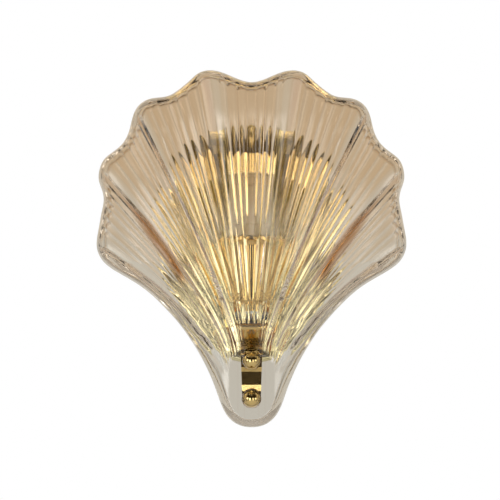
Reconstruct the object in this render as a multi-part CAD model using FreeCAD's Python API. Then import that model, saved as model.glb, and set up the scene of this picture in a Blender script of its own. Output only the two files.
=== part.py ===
import FreeCAD, Part
import math
import os
from FreeCAD import Vector as V

os.makedirs("parts", exist_ok=True)

# ----------------------------------------------------------------------------
# Shell wall sconce. Millimetres, +Z up, the wall is the plane y = 0 and the
# light stands out towards -Y. The origin is the centre of the wall fixing.
# ----------------------------------------------------------------------------

# --- glass shell ------------------------------------------------------------
GLASS_T = 5.5            # thickness of the pressed glass
TONGUE_Y = -50.0         # front face of the tongue
BOSS_R, BOSS_H = 8.2, 0.3   # flat moulded rings round the stud holes
SEAT_Y = TONGUE_Y - BOSS_H
SEAT_INNER_Y = TONGUE_Y + GLASS_T + BOSS_H
STUD_Z = (-93.5, -125.8) # heights of the two studs
GLASS_HOLE_R = 4.5
RIDGE_H = 5.0            # height of the eight broad ridges at the rim
GRID_C = (0.0, -30.0)    # centre that the shell's sections radiate from
GRID_R0 = 4.0
# right half of the rim, from the notch at the top to the foot of the tongue
RIM = [(0.0, 140.3), (17.0, 145.2), (34.0, 150.2), (44.6, 147.9), (51.0, 142.8),
       (59.0, 136.2), (70.1, 129.6), (86.3, 127.3), (94.8, 122.4), (99.2, 116.0),
       (102.0, 107.1), (104.2, 99.5), (108.4, 91.8), (116.6, 84.2), (125.8, 76.5),
       (129.4, 68.0), (129.9, 59.0), (127.1, 50.5), (126.0, 42.5), (127.9, 32.0),
       (130.1, 20.4), (132.4, 7.0), (131.4, -2.5), (126.7, -10.2), (115.5, -18.6),
       (99.5, -28.0), (85.6, -38.3), (73.1, -50.5), (59.5, -66.3), (49.0, -81.6),
       (41.0, -95.5), (34.2, -109.7), (29.3, -122.4), (25.5, -132.6),
       (19.6, -142.8), (10.5, -149.4), (0.0, -151.3)]
# centre line of the front face: height, depth
FACE = [(-170, -50), (-92, -50), (-86, -51.0), (-75, -61.0), (-61, -75.0),
        (-40, -88), (-10, -98), (20, -104.5), (60, -108.5), (100, -109),
        (130, -106), (165, -99)]
# how fast the face falls back to the sides, how far the rim turns back, the
# radius of its shoulder and the slope of its wall
FALL = [(-170, .020), (-110, .020), (-86, .013), (-61, .0085), (-40, .0062),
        (-10, .0033), (20, .0030), (60, .0028), (100, .0034), (165, .0034)]
TURN = [(-170, 15.0), (-110, 14.0), (-60, 17.0), (-20, 22.0), (40, 24.0),
        (100, 22.0), (165, 19.0)]
TURN_R, TURN_A = 7.2, 82.0
FLAT_X = [(-170, 15.0), (-88, 15.0), (-62, 0.0), (165, 0.0)]

# fan of the ridges: place across the fan, start, bend and end of each line
FAN = [(0.0, (0, -80), (0, -30), (0, 140)),
       (0.5, (5.5, -82), (8.5, -33), (34, 150)),
       (1.0, (8.5, -85), (13.5, -35), (70, 130)),
       (1.5, (11, -88), (18.2, -36.5), (98, 120)),
       (2.0, (14.5, -93), (22.5, -40.5), (107, 96)),
       (2.5, (17.5, -98), (27, -44.6), (126, 68)),
       (3.0, (19.5, -101.5), (38, -49), (127, 42)),
       (3.5, (21, -105), (45, -53.5), (130, 5)),
       (4.0, (24, -112), (50.5, -67.5), (120.5, -16.5)),
       (5.0, (40, -125), (75, -95), (120, -70))]

# --- backplate --------------------------------------------------------------
PLATE_T = 1.2
PLATE_D = 20.0           # depth of its rim
PLATE_W = 73.0           # half width
PLATE_TOP_Z = 35.0       # centre of the round top
PLATE_SIDE_Z = -12.0     # end of the straight sides
PLATE_SIDE_R = 90.0
PLATE_FOOT_Z = -97.0
PLATE_FOLD_Z = 83.0      # level line of the fold
PLATE_FOLD_DROP = 5.5    # how far back the top end of the fold lies
SIDE_SCREW_Y = -9.0

# --- strap bracket ----------------------------------------------------------
STRAP_T = 2.0
SHELF_Z = -61.0
SHELF_W = 16.5           # half width of the shelf
SHELF_Y = -63.0          # where the shelf turns down
GASKET_T = 1.5

# --- lampholder -------------------------------------------------------------
LAMP_Y = -52.0
CUP_R = 16.5
CUP_Z0, CUP_Z1 = -45.0, 10.0
HOLDER_R = 19.2
HOLDER_Z0, HOLDER_Z1 = 12.0, 63.0
SOCKET_R = 13.1          # inner radius of the threaded shell

# --- studs and ball nuts ----------------------------------------------------
STUD_R = 1.98            # M4
NUT_BORE_R = 2.03
BALL_R = 6.0
WASHER_R = 7.2
WASHER_T = 1.2
FRONT_GASKET_T = 1.0


def interp(tab, v):
    """Smooth interpolation through a table (monotone cubic)."""
    n = len(tab)
    if v <= tab[0][0]:
        return tab[0][1]
    if v >= tab[-1][0]:
        return tab[-1][1]
    k = 0
    while tab[k + 1][0] < v:
        k += 1
    def slope(i):
        if i <= 0 or i >= n - 1:
            return 0.0 if i <= 0 else (tab[n-1][1]-tab[n-2][1])/(tab[n-1][0]-tab[n-2][0])
        a = (tab[i][1]-tab[i-1][1])/(tab[i][0]-tab[i-1][0])
        b = (tab[i+1][1]-tab[i][1])/(tab[i+1][0]-tab[i][0])
        if a*b <= 0:
            return 0.0
        return 2*a*b/(a+b)
    x0, y0 = tab[k]
    x1, y1 = tab[k + 1]
    h = x1 - x0
    t = (v - x0)/h
    m0, m1 = slope(k)*h, slope(k+1)*h
    t2, t3 = t*t, t*t*t
    return (2*t3-3*t2+1)*y0 + (t3-2*t2+t)*m0 + (-2*t3+3*t2)*y1 + (t3-t2)*m1


def smooth(a, b, v):
    t = (v-a)/(b-a)
    t = 0.0 if t < 0 else 1.0 if t > 1 else t
    return t*t*(3-2*t)


def rim_curve():
    """Closed smooth rim through the measured points, as a sampled half."""
    pts = [V(x, 0, z) for x, z in RIM]
    left = [V(-p.x, 0, p.z) for p in pts[1:-1]][::-1]
    c = Part.BSplineCurve()
    c.interpolate(Points=pts + left, PeriodicFlag=True)
    return c, pts


def sample_half(c, pts, n):
    """n points equally spaced along the right half of the rim."""
    t0 = c.parameter(pts[0])
    t1 = c.parameter(pts[-1])
    m = 900
    q = [c.value(t0 + (t1-t0)*i/m) for i in range(m+1)]
    s = [0.0]
    for i in range(m):
        s.append(s[-1] + q[i].distanceToPoint(q[i+1]))
    out = []
    k = 0
    for i in range(n):
        w = s[-1]*i/(n-1)
        while k < m-1 and s[k+1] < w:
            k += 1
        f = (w-s[k])/(s[k+1]-s[k])
        out.append((q[k].x + f*(q[k+1].x-q[k].x), q[k].z + f*(q[k+1].z-q[k].z)))
    out[0] = (0.0, RIM[0][1])
    out[-1] = (0.0, RIM[-1][1])
    return out


RIM_CURVE, RIM_PTS = rim_curve()
RIM_FINE = sample_half(RIM_CURVE, RIM_PTS, 400)
SEGS = [(RIM_FINE[i], RIM_FINE[i+1]) for i in range(399)]


def rim_dist(x, z):
    """Distance in the front view from a point to the rim."""
    x = abs(x)
    best = 1e9
    for (ax, az), (bx, bz) in SEGS:
        ex, ez = bx-ax, bz-az
        px, pz = x-ax, z-az
        if px*px+pz*pz > best + 400 and best < 1e8:
            continue
        t = (px*ex+pz*ez)/(ex*ex+ez*ez)
        t = 0.0 if t < 0 else 1.0 if t > 1 else t
        dx, dz = px-t*ex, pz-t*ez
        d = dx*dx+dz*dz
        if d < best:
            best = d
    return math.sqrt(best)


SX = [(f[0], f[1][0]) for f in FAN]
SZ = [(f[0], f[1][1]) for f in FAN]
CX = [(f[0], f[2][0]) for f in FAN]
CZ = [(f[0], f[2][1]) for f in FAN]
EX = [(f[0], f[3][0]) for f in FAN]
EZ = [(f[0], f[3][1]) for f in FAN]
FAN_N = 100
FAN_TAB = [(5.0*i/FAN_N,) + tuple(interp(t, 5.0*i/FAN_N) for t in (SX, SZ, CX, CZ, EX, EZ))
           for i in range(FAN_N+1)]


def fan_x(row, z):
    """Where one line of the fan stands at height z, and how far along it."""
    s, sx, sz, cx, cz, ex, ez = row
    a = sz - 2*cz + ez
    b = 2*(cz - sz)
    c = sz - z
    if abs(a) < 1e-9:
        t = -c/b
    else:
        disc = max(b*b - 4*a*c, 0.0)
        t = (-b + math.sqrt(disc))/(2*a)
    if t < 0:
        return sx, 0.0
    if t > 1:
        dx, dz = 2*(ex-cx), 2*(ez-cz)
        k = (z-ez)/dz if dz > 1 else 0.0
        return ex + k*dx, 1.0 + min(k, 0.3)
    return (1-t)**2*sx + 2*t*(1-t)*cx + t*t*ex, t


def fan(x, z):
    """Place across the fan (0 at the middle, one per lobe) and along it."""
    x = abs(x)
    lo, hi = 0, FAN_N
    while hi - lo > 1:
        m = (lo+hi)//2
        if fan_x(FAN_TAB[m], z)[0] <= x:
            lo = m
        else:
            hi = m
    x0, t0 = fan_x(FAN_TAB[lo], z)
    x1, t1 = fan_x(FAN_TAB[hi], z)
    f = (x-x0)/(x1-x0) if abs(x1-x0) > 1e-9 else 0.0
    f = 0.0 if f < 0 else 1.0 if f > 1 else f
    return FAN_TAB[lo][0] + f*(FAN_TAB[hi][0]-FAN_TAB[lo][0]), t0+f*(t1-t0)


def ridge(s):
    """Section across one lobe: gentle towards the middle, steep outwards."""
    if s > 4.0:
        return 0.0
    p = s - math.floor(s)
    return smooth(0.06, 0.48, p) * (1 - smooth(0.50, 0.84, p))


def turn_back(d, h):
    """Rounded shoulder and steep wall of the rim, h deep at the rim itself."""
    a = math.radians(TURN_A)
    x1, y1, g = TURN_R*math.sin(a), TURN_R*(1-math.cos(a)), math.tan(a)
    e = x1 + (h-y1)/g - d
    if e <= 0:
        return 0.0
    return TURN_R - math.sqrt(TURN_R**2-e*e) if e < x1 else y1 + (e-x1)*g


def depth(x, z):
    """Front face of the glass: y over the front view."""
    ax = abs(x)
    q = max(0.0, math.sqrt(ax*ax+4.0)-2.0 - interp(FLAT_X, z))
    y = interp(FACE, z) + interp(FALL, z)*q*q
    s, t = fan(x, z)
    y -= RIDGE_H*ridge(s)*smooth(0.10, 0.85, t)
    return y + turn_back(rim_dist(x, z), interp(TURN, z))


def outward(fn, x, z, h=0.04):
    """Unit normal of a depth field, pointing to the front."""
    dx = (fn(x+h, z)-fn(x-h, z))/(2*h)
    dz = (fn(x, z+h)-fn(x, z-h))/(2*h)
    n = math.sqrt(dx*dx+dz*dz+1)
    return dx/n, -1/n, dz/n


def glass():
    cx, cz = GRID_C
    y0 = depth(cx+0.0, cz)
    gx, gy, gz = outward(depth, 0.0, cz, 1.0)
    sz = -gz/gy   # slope dy/dz at the centre

    def field(x, z):
        r = math.hypot(x-cx, z-cz)
        if r < 11:
            flat = y0 + sz*(z-cz)
            w = 1-smooth(4.3, 11.0, r)
            return w*flat + (1-w)*depth(x, z) if w < 1 else flat
        return depth(x, z)

    rim = sample_half(RIM_CURVE, RIM_PTS, 86)
    edge = [30.0, 22.0, 16.5, 12.8, 10.4, 8.7, 7.3, 6.1, 5.0, 4.0, 3.1, 2.3, 1.6, 1.0, 0.45, 0.0]
    nin = 8
    outer, inner = [], []
    n = len(rim)
    for i, (rx, rz) in enumerate(rim):
        L = math.hypot(rx-cx, rz-cz)
        ux, uz = (rx-cx)/L, (rz-cz)/L
        if i == 0:
            ux, uz = 0.0, 1.0
        if i == n-1:
            ux, uz = 0.0, -1.0
        rad = [GRID_R0 + (L-edge[0]-GRID_R0)*(j/float(nin))**1.0 for j in range(nin)] + \
              [L-e for e in edge]
        ro, ri = [], []
        for r in rad:
            x, z = cx+ux*r, cz+uz*r
            y = field(x, z)
            if r >= L-1e-6:
                # at the rim the slope is read just inside it
                a = outward(field, cx+ux*(r-0.25), cz+uz*(r-0.25))
            else:
                a = outward(field, x, z)
            nx, ny, nz = a
            if i == 0 or i == n-1:
                x, nx = 0.0, 0.0
                m = math.hypot(ny, nz)
                ny, nz = ny/m, nz/m
            ro.append(V(x, y, z))
            ri.append(V(x-nx*GLASS_T, y-ny*GLASS_T, z-nz*GLASS_T))
        outer.append(ro)
        inner.append(ri)

    def line_poles(points, params):
        c = Part.BSplineCurve()
        c.interpolate(Points=points, Parameters=params)
        return c

    def surf(grid):
        # the half is carried a little past the middle plane on both sides, so
        # that its mirror image meets it smoothly, and is then trimmed to it
        m = 3
        flip = lambda row: [V(-p.x, p.y, p.z) for p in row]
        rows = [flip(grid[k]) for k in range(m, 0, -1)] + grid + \
               [flip(grid[-1-k]) for k in range(1, m+1)]
        nu, nv = len(rows), len(rows[0])
        up = [float(i) for i in range(nu)]
        mid = grid[len(grid)//3]
        vp = [0.0]
        for j in range(1, nv):
            vp.append(vp[-1] + math.sqrt(mid[j].distanceToPoint(mid[j-1])))
        cols = [line_poles([rows[i][j] for i in range(nu)], up) for j in range(nv)]
        uk, um = cols[0].getKnots(), cols[0].getMultiplicities()
        pol = [c.getPoles() for c in cols]
        fin = [line_poles([pol[j][k] for j in range(nv)], vp) for k in range(len(pol[0]))]
        vk, vm = fin[0].getKnots(), fin[0].getMultiplicities()
        s = Part.BSplineSurface()
        s.buildFromPolesMultsKnots([c.getPoles() for c in fin], um, vm, uk, vk, False, False, 3, 3)
        s.segment(float(m), float(m+len(grid)-1), vk[0], vk[-1])
        return s

    so, si = surf(outer), surf(inner)
    u0, u1, v0, v1 = so.bounds()
    w0, w1, q0, q1 = si.bounds()
    eo = so.vIso(v1).toShape()
    ei = si.vIso(q1).toShape()
    co = so.vIso(v0).toShape()
    ci = si.vIso(q0).toShape()
    rimface = Part.makeRuledSurface(eo, ei)

    def cap(e):
        a, b = e.Vertexes[0].Point, e.Vertexes[-1].Point
        return Part.Face(Part.Wire([e, Part.makeLine(b, a)]))

    half = [so.toShape(), si.toShape(), rimface, cap(co), cap(ci)]
    other = [f.mirror(V(0, 0, 0), V(1, 0, 0)) for f in half]
    comp = Part.makeCompound(half + other)
    comp.sewShape(1e-3)
    shells = comp.Shells
    body = Part.Solid(shells[0])
    if body.Volume < 0:
        body.reverse()
    for zz in STUD_Z:
        body = body.fuse(Part.makeCylinder(BOSS_R, SEAT_INNER_Y-SEAT_Y, V(0, SEAT_Y, zz), V(0, 1, 0)))
        # the two seats are ground flat
        body = body.cut(Part.makeCylinder(BOSS_R-0.2, 9, V(0, SEAT_Y-9, zz), V(0, 1, 0)))
        body = body.cut(Part.makeCylinder(BOSS_R-0.2, 6, V(0, SEAT_INNER_Y, zz), V(0, 1, 0)))
        body = body.cut(Part.makeCylinder(GLASS_HOLE_R, 40, V(0, -70, zz), V(0, 1, 0)))
    return body


# ----------------------------------------------------------------------------
def cyl(r, y0, y1, x, z):
    """Round bar along Y."""
    a, b = min(y0, y1), max(y0, y1)
    return Part.makeCylinder(r, b-a, V(x, a, z), V(0, 1, 0))


def zcyl(r, z0, z1, x=0.0, y=LAMP_Y):
    return Part.makeCylinder(r, z1-z0, V(x, y, z0), V(0, 0, 1))


def box(x0, x1, y0, y1, z0, z1):
    return Part.makeBox(x1-x0, y1-y0, z1-z0, V(x0, y0, z0))


def hexnut(af, h, bore, base, axis):
    """Hexagon nut with chamfered corners on an axis."""
    r = af/math.sqrt(3.0)
    pts = [V(r*math.cos(math.radians(60*i)), r*math.sin(math.radians(60*i)), 0) for i in range(7)]
    s = Part.Face(Part.makePolygon(pts)).extrude(V(0, 0, h))
    c = Part.makeCone(r+h*0.9, r-0.55*(r-af/2)*1.0, h, V(0, 0, 0), V(0, 0, 1))
    k = Part.makeCylinder(r*0.985, h)
    s = s.common(k).common(c)
    s = s.cut(Part.makeCylinder(bore, h+2, V(0, 0, -1)))
    return place(s, base, axis)


def place(s, base, axis):
    rot = FreeCAD.Rotation(V(0, 0, 1), V(*axis))
    s = s.copy()
    s.Placement = FreeCAD.Placement(V(*base), rot).multiply(s.Placement)
    return s


def revolve(profile, base=(0, 0, 0), axis=(0, 0, 1)):
    """Turned piece: profile of (radius, height) pairs about an axis."""
    pts = [V(r, 0, h) for r, h in profile]
    if pts[0].distanceToPoint(pts[-1]) > 1e-9:
        pts.append(pts[0])
    s = Part.Face(Part.makePolygon(pts)).revolve(V(0, 0, 0), V(0, 0, 1), 360)
    if s.Volume < 0:
        s.reverse()
    return place(s, base, axis)


def offset_line(pts, t):
    """Mitred offset of an open line to its left."""
    out = []
    n = len(pts)
    for i in range(n):
        if i == 0:
            d = (pts[1][0]-pts[0][0], pts[1][1]-pts[0][1])
            L = math.hypot(*d)
            out.append((pts[0][0]-d[1]/L*t, pts[0][1]+d[0]/L*t))
            continue
        if i == n-1:
            d = (pts[-1][0]-pts[-2][0], pts[-1][1]-pts[-2][1])
            L = math.hypot(*d)
            out.append((pts[-1][0]-d[1]/L*t, pts[-1][1]+d[0]/L*t))
            continue
        a = (pts[i][0]-pts[i-1][0], pts[i][1]-pts[i-1][1])
        b = (pts[i+1][0]-pts[i][0], pts[i+1][1]-pts[i][1])
        la, lb = math.hypot(*a), math.hypot(*b)
        na = (-a[1]/la, a[0]/la)
        nb = (-b[1]/lb, b[0]/lb)
        m = (na[0]+nb[0], na[1]+nb[1])
        k = 2*t/(m[0]*m[0]+m[1]*m[1])
        out.append((pts[i][0]+m[0]*k, pts[i][1]+m[1]*k))
    return out


def prism(pts, a, b, plane):
    """Closed outline extruded between two planes: plane is the two axes used."""
    def p(u, v, w):
        if plane == "yz":
            return V(w, u, v)
        if plane == "xz":
            return V(u, w, v)
        return V(u, v, w)
    q = [p(u, v, a) for u, v in pts]
    q.append(q[0])
    f = Part.Face(Part.makePolygon(q))
    d = p(0, 0, b) - p(0, 0, a)
    s = f.extrude(d)
    return s


# --- backplate ----------------------------------------------------------------
def plate_outline(k, y):
    """Outline of the backplate, drawn in by k, in the plane at y."""
    w = PLATE_W - k
    sr = PLATE_SIDE_R - k
    scx = PLATE_W - PLATE_SIDE_R          # centre of the side arcs (x)
    # radius and centre of the foot arc, tangent to both sides
    g = PLATE_SIDE_Z - PLATE_FOOT_Z
    rb = (PLATE_SIDE_R**2 - scx**2 - g*g) / (2*(PLATE_SIDE_R - g))
    zb = PLATE_FOOT_Z + rb
    dx, dz = -scx, zb - PLATE_SIDE_Z
    L = math.hypot(dx, dz)
    tx, tz = scx + dx/L*sr, PLATE_SIDE_Z + dz/L*sr
    a = math.atan2(tz-PLATE_SIDE_Z, tx-scx)/2
    mx, mz = scx + sr*math.cos(a), PLATE_SIDE_Z + sr*math.sin(a)
    P = lambda x, z: V(x, y, z)
    top = Part.Arc(P(w, PLATE_TOP_Z), P(0, PLATE_TOP_Z+w), P(-w, PLATE_TOP_Z)).toShape()
    l1 = Part.makeLine(P(-w, PLATE_TOP_Z), P(-w, PLATE_SIDE_Z))
    s1 = Part.Arc(P(-w, PLATE_SIDE_Z), P(-mx, mz), P(-tx, tz)).toShape()
    foot = Part.Arc(P(-tx, tz), P(0, PLATE_FOOT_Z+k), P(tx, tz)).toShape()
    s2 = Part.Arc(P(tx, tz), P(mx, mz), P(w, PLATE_SIDE_Z)).toShape()
    l2 = Part.makeLine(P(w, PLATE_SIDE_Z), P(w, PLATE_TOP_Z))
    return Part.Face(Part.Wire([top, l1, s1, foot, s2, l2]))


def plate_body(k, front, fillet):
    y0 = 2.0 if k else 0.0
    s = plate_outline(k, y0).extrude(V(0, front-y0, 0))
    s = s.makeFillet(fillet, [e for e in s.Edges if max(v.Point.y for v in e.Vertexes) < front+0.01])
    ztop = PLATE_TOP_Z + PLATE_W
    slope = PLATE_FOLD_DROP/(ztop - PLATE_FOLD_Z)
    far = 40.0
    cut = prism([(front, PLATE_FOLD_Z), (front+slope*far, PLATE_FOLD_Z+far),
                 (front-30, PLATE_FOLD_Z+far), (front-30, PLATE_FOLD_Z)], -100, 100, "yz")
    return s.cut(cut)


def backplate():
    outer = plate_body(0.0, -PLATE_D, 4.0)
    inner = plate_body(PLATE_T, -PLATE_D+PLATE_T, 2.8)
    s = outer.cut(inner)
    for z in (-70.0, -80.0):
        s = s.cut(cyl(2.2, -30, -10, 0, z))
    s = s.cut(cyl(5.0, -30, -10, 0, -54.0))
    s = s.cut(cyl(1.7, -30, -10, 4.0, -22.0))
    s = s.cut(Part.makeCylinder(2.2, 200, V(-100, SIDE_SCREW_Y, 0), V(1, 0, 0)))
    return s


def wall_crossbar():
    x0 = PLATE_W - PLATE_T - 0.2
    s = box(-x0, x0, -2.0, 0.0, -9.0, 9.0)
    for sg in (-1, 1):
        a, b = sorted((sg*x0, sg*(x0-2.0)))
        s = s.fuse(box(a, b, -16.0, 0.0, -9.0, 9.0))
    s = s.removeSplitter()
    try:
        edges = [e for e in s.Edges if e.Length > 17 and e.Length < 19 and
                 abs(abs(e.CenterOfMass.x)-x0) < 0.01 and abs(e.CenterOfMass.y) < 0.01]
        s = s.makeFillet(1.6, edges)
    except Exception as exc:
        print("crossbar fillet", exc)
    for sg in (-1, 1):
        x = 30.0*sg
        slot = box(x-5.5, x+5.5, -3, 1, -2.5, 2.5)
        slot = slot.fuse(cyl(2.5, -3, 1, x-5.5, 0)).fuse(cyl(2.5, -3, 1, x+5.5, 0))
        s = s.cut(slot)
    s = s.cut(Part.makeCylinder(2.0, 200, V(-100, SIDE_SCREW_Y, 0), V(1, 0, 0)))
    return s


def screw(head_r, head_h, shank_r, length, base, axis, slot=0.9, dome=0.45):
    """Slotted screw: the head stands on base, the shank runs against axis."""
    prof = [(0, -length), (shank_r-0.3, -length), (shank_r, -length+0.4), (shank_r, 0),
            (head_r, 0), (head_r, head_h*(1-dome))]
    for i in range(1, 6):
        a = math.radians(90*i/5.0)
        prof.append((head_r*math.cos(a) if i < 5 else 0.0, head_h*(1-dome)+head_h*dome*math.sin(a)))
    s = revolve(prof)
    s = s.cut(Part.makeBox(head_r*3, slot, head_h, V(-head_r*1.5, -slot/2, head_h*0.55)))
    return place(s, base, axis)


def side_screws():
    return [screw(3.9, 2.6, 1.96, 8.0, (sg*PLATE_W, SIDE_SCREW_Y, 0), (sg, 0, 0)) for sg in (-1, 1)]


def strap_bracket():
    f = -PLATE_D
    pad = SEAT_INNER_Y + GASKET_T
    rest = pad + 1.5
    line = [(f, -86.0), (f, SHELF_Z), (SHELF_Y, SHELF_Z), (rest, -83.0), (pad, -88.5),
            (pad, -99.5), (rest, -103.5), (rest, -114.8), (pad, -120.0), (pad, -131.6)]
    back = offset_line(line, -STRAP_T)
    # the sheet lies inside the bend
    a = offset_line(line, STRAP_T)
    ins = a if a[1][1] < SHELF_Z else back
    poly = line + ins[::-1]
    s = prism(poly, -SHELF_W, SHELF_W, "yz")
    try:
        edges = []
        for e in s.Edges:
            if abs(e.Length-2*SHELF_W) > 0.01:
                continue
            c = e.CenterOfMass
            if abs(c.z-SHELF_Z) < 0.01 and (abs(c.y-f) < 0.01 or abs(c.y-SHELF_Y) < 0.01):
                edges.append(e)
        s = s.makeFillet(2.6, edges)
    except Exception as exc:
        print("strap outer fillet", exc)
    # the leg that runs down behind the glass, and the shelf's shoulders
    zt = SHELF_Z-STRAP_T
    leg = [(8.6, zt), (9.35, -82.5), (7.8, -128.2), (4.6, -131.6), (4.6, -140), (30, -140), (30, zt)]
    for sg in (-1, 1):
        s = s.cut(prism([(sg*x, z) for x, z in leg], -80, -28, "xz"))
    sh = [(8.6, -80), (8.6, -60.6), (11.0, -58.8), (17.5, -58.8), (30, -58.8), (30, -80)]
    for sg in (-1, 1):
        s = s.cut(prism([(sg*x, y) for x, y in sh], -100, -40, "xy"))
    fl = [(11.0, zt-1.0), (11.0, -82.0), (7.0, -86.0), (7.0, -90), (30, -90), (30, zt-1.0)]
    for sg in (-1, 1):
        s = s.cut(prism([(sg*x, z) for x, z in fl], -28, -10, "xz"))
    for z in (-70.0, -80.0):
        s = s.cut(cyl(2.2, -30, -10, 0, z))
    for z in STUD_Z:
        s = s.cut(cyl(2.1, -60, -30, 0, z))
    for sg in (-1, 1):
        a, b = sorted((sg*13.3, sg*15.1))
        s = s.cut(box(a, b, LAMP_Y-3.1, LAMP_Y+3.1, SHELF_Z-4, SHELF_Z+1))
    return s


def holder_bridge():
    z1 = CUP_Z0
    s = box(-15.0, 15.0, LAMP_Y-6, LAMP_Y+6, SHELF_Z, z1)
    s = s.cut(box(-13.4, 13.4, LAMP_Y-7, LAMP_Y+7, SHELF_Z-1, z1-1.6))
    try:
        s = s.makeFillet(1.4, [e for e in s.Edges if abs(abs(e.CenterOfMass.x)-15.0) < .01
                               and abs(e.CenterOfMass.z-z1) < .01])
    except Exception as exc:
        print("bridge fillet", exc)
    for sg in (-1, 1):
        a, b = sorted((sg*13.4, sg*15.0))
        s = s.fuse(box(a, b, LAMP_Y-3, LAMP_Y+3, SHELF_Z-STRAP_T, SHELF_Z+0.5))
    s = s.removeSplitter()
    s = s.cut(zcyl(5.06, z1-5, z1+5))
    return s


def nipple():
    s = zcyl(4.98, -53.0, -26.0).cut(zcyl(3.8, -54.0, -25.0))
    return s


def lampholder_cup():
    z0, z1, r, t = CUP_Z0, CUP_Z1, CUP_R, 0.8
    out = [(5.1, z0), (r-4.0, z0), (r-2.0, z0+0.6), (r-0.7, z0+1.8), (r-0.1, z0+3.6), (r, z0+6),
           (r, z1-5.0), (r+0.5, z1-3.4), (r+1.9, z1-1.8), (r+3.1, z1-1.0), (r+3.1, z1+1.8)]
    inn = [(r+3.1-t, z1+1.8), (r+3.1-t, z1-0.2), (r+1.7, z1-1.0), (r-0.2, z1-2.9), (r-t, z1-4.8),
           (r-t, z0+6), (r-t-0.1, z0+3.9), (r-t-0.7, z0+2.4), (r-2.3, z0+1.4), (r-4.2, z0+t), (5.1, z0+t)]
    return revolve(out+inn, (0, LAMP_Y, 0))


def lampholder_base():
    # stands in the cup; hollow above for the wires and the terminals
    z0 = CUP_Z0+1.0
    prof = [(4.99, z0), (11.5, z0), (13.2, z0+1.4), (15.2, z0+6), (15.2, 9.0), (13.0, 9.0),
            (13.0, -20.0), (10.0, -24.0), (4.99, -24.0)]
    return revolve(prof, (0, LAMP_Y, 0))


def lampholder_shell():
    r = HOLDER_R
    z0, z1 = HOLDER_Z0, HOLDER_Z1
    out = [(7.0, z0), (r-1.0, z0), (r, z0+1.0), (r, z0+9), (r-0.5, z0+9.6), (r-0.5, z0+11.2),
           (r, z0+11.8), (r, z1-9.5), (r-0.6, z1-8.9), (r-0.6, z1-7.4), (r, z1-6.8), (r, z1-1.4), (r-1.2, z1),
           (17.0, z1), (16.8, z1-0.4), (16.8, z0+2.6), (7.0, z0+2.6)]
    return revolve(out, (0, LAMP_Y, 0))


def lampholder_core():
    z0 = HOLDER_Z0+2.6
    prof = [(2.0, z0), (16.6, z0), (16.6, z0+9.0), (14.6, z0+11.0), (14.6, z0+13.5), (13.3, z0+13.5),
            (13.3, z0+6.0), (2.0, z0+6.0)]
    return revolve(prof, (0, LAMP_Y, 0))


def thread_shell():
    z0, z1 = HOLDER_Z0+16.3, HOLDER_Z1-4.0
    prof = [(SOCKET_R, z0), (SOCKET_R+0.5, z0), (SOCKET_R+0.5, z1), (SOCKET_R, z1)]
    return revolve(prof, (0, LAMP_Y, 0))


def centre_contact():
    z0 = HOLDER_Z0+8.6
    s = box(-2.5, 2.5, LAMP_Y-10, LAMP_Y-9.2, z0, z0+2.8)
    tongue = [(LAMP_Y-10, z0+2.8), (LAMP_Y-9.2, z0+2.5), (LAMP_Y+1.5, z0+5.4), (LAMP_Y+4.5, z0+4.4),
              (LAMP_Y+4.7, z0+5.1), (LAMP_Y+1.5, z0+6.2), (LAMP_Y-9.6, z0+3.3)]
    t = prism(tongue, -2.5, 2.5, "yz")
    foot = box(-2.5, 2.5, LAMP_Y-10, LAMP_Y-5, z0, z0+0.8)
    return s.fuse(t).fuse(foot).removeSplitter()


def retaining_ring():
    z1 = HOLDER_Z1
    prof = [(13.9, z1-9.0), (16.6, z1-9.0), (16.6, z1-0.2), (18.2, z1+0.3), (18.0, z1+1.6), (17.0, z1+2.2),
            (14.6, z1+2.2), (13.9, z1+1.5)]
    s = revolve(prof, (0, LAMP_Y, 0))
    return s.cut(revolve([(16.5, z1-0.3), (19.5, z1-0.3), (19.5, z1+0.02), (16.5, z1+0.02)], (0, LAMP_Y, 0)))


# --- clamping of the glass ----------------------------------------------------
def stud(z):
    back = SEAT_INNER_Y + GASKET_T + STRAP_T
    y1 = back + 3.9
    y0 = -59.0
    prof = [(0, 0), (STUD_R-0.35, 0), (STUD_R, 0.4), (STUD_R, y1-y0-0.4), (STUD_R-0.35, y1-y0), (0, y1-y0)]
    return revolve(prof, (0, y0, z), (0, 1, 0))


def ball_nut(z):
    y = SEAT_Y - FRONT_GASKET_T - WASHER_T
    h = 1.0
    rc = 4.1
    cy = h + math.sqrt(BALL_R**2 - 3.4**2)
    prof = [(NUT_BORE_R, 0), (rc-0.3, 0), (rc, 0.3), (rc, h-0.2), (3.4, h)]
    a0 = math.asin(3.4/BALL_R)
    n = 16
    for i in range(1, n+1):
        a = a0 + (math.pi-a0)*i/n
        prof.append((BALL_R*math.sin(a) if i < n else 0.0, cy - BALL_R*math.cos(a)))
    prof += [(0, 8.2), (NUT_BORE_R, 7.4)]
    return revolve(prof, (0, y, z), (0, -1, 0))


def washer(z):
    y = SEAT_Y - FRONT_GASKET_T
    t = WASHER_T
    prof = [(2.3, 0), (WASHER_R, 0), (WASHER_R, t-0.5), (WASHER_R-0.2, t-0.15), (WASHER_R-0.6, t), (2.3, t)]
    return revolve(prof, (0, y, z), (0, -1, 0))


def ring(ri, ro, y0, y1, z):
    return cyl(ro, y0, y1, 0, z).cut(cyl(ri, min(y0, y1)-1, max(y0, y1)+1, 0, z))


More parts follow.
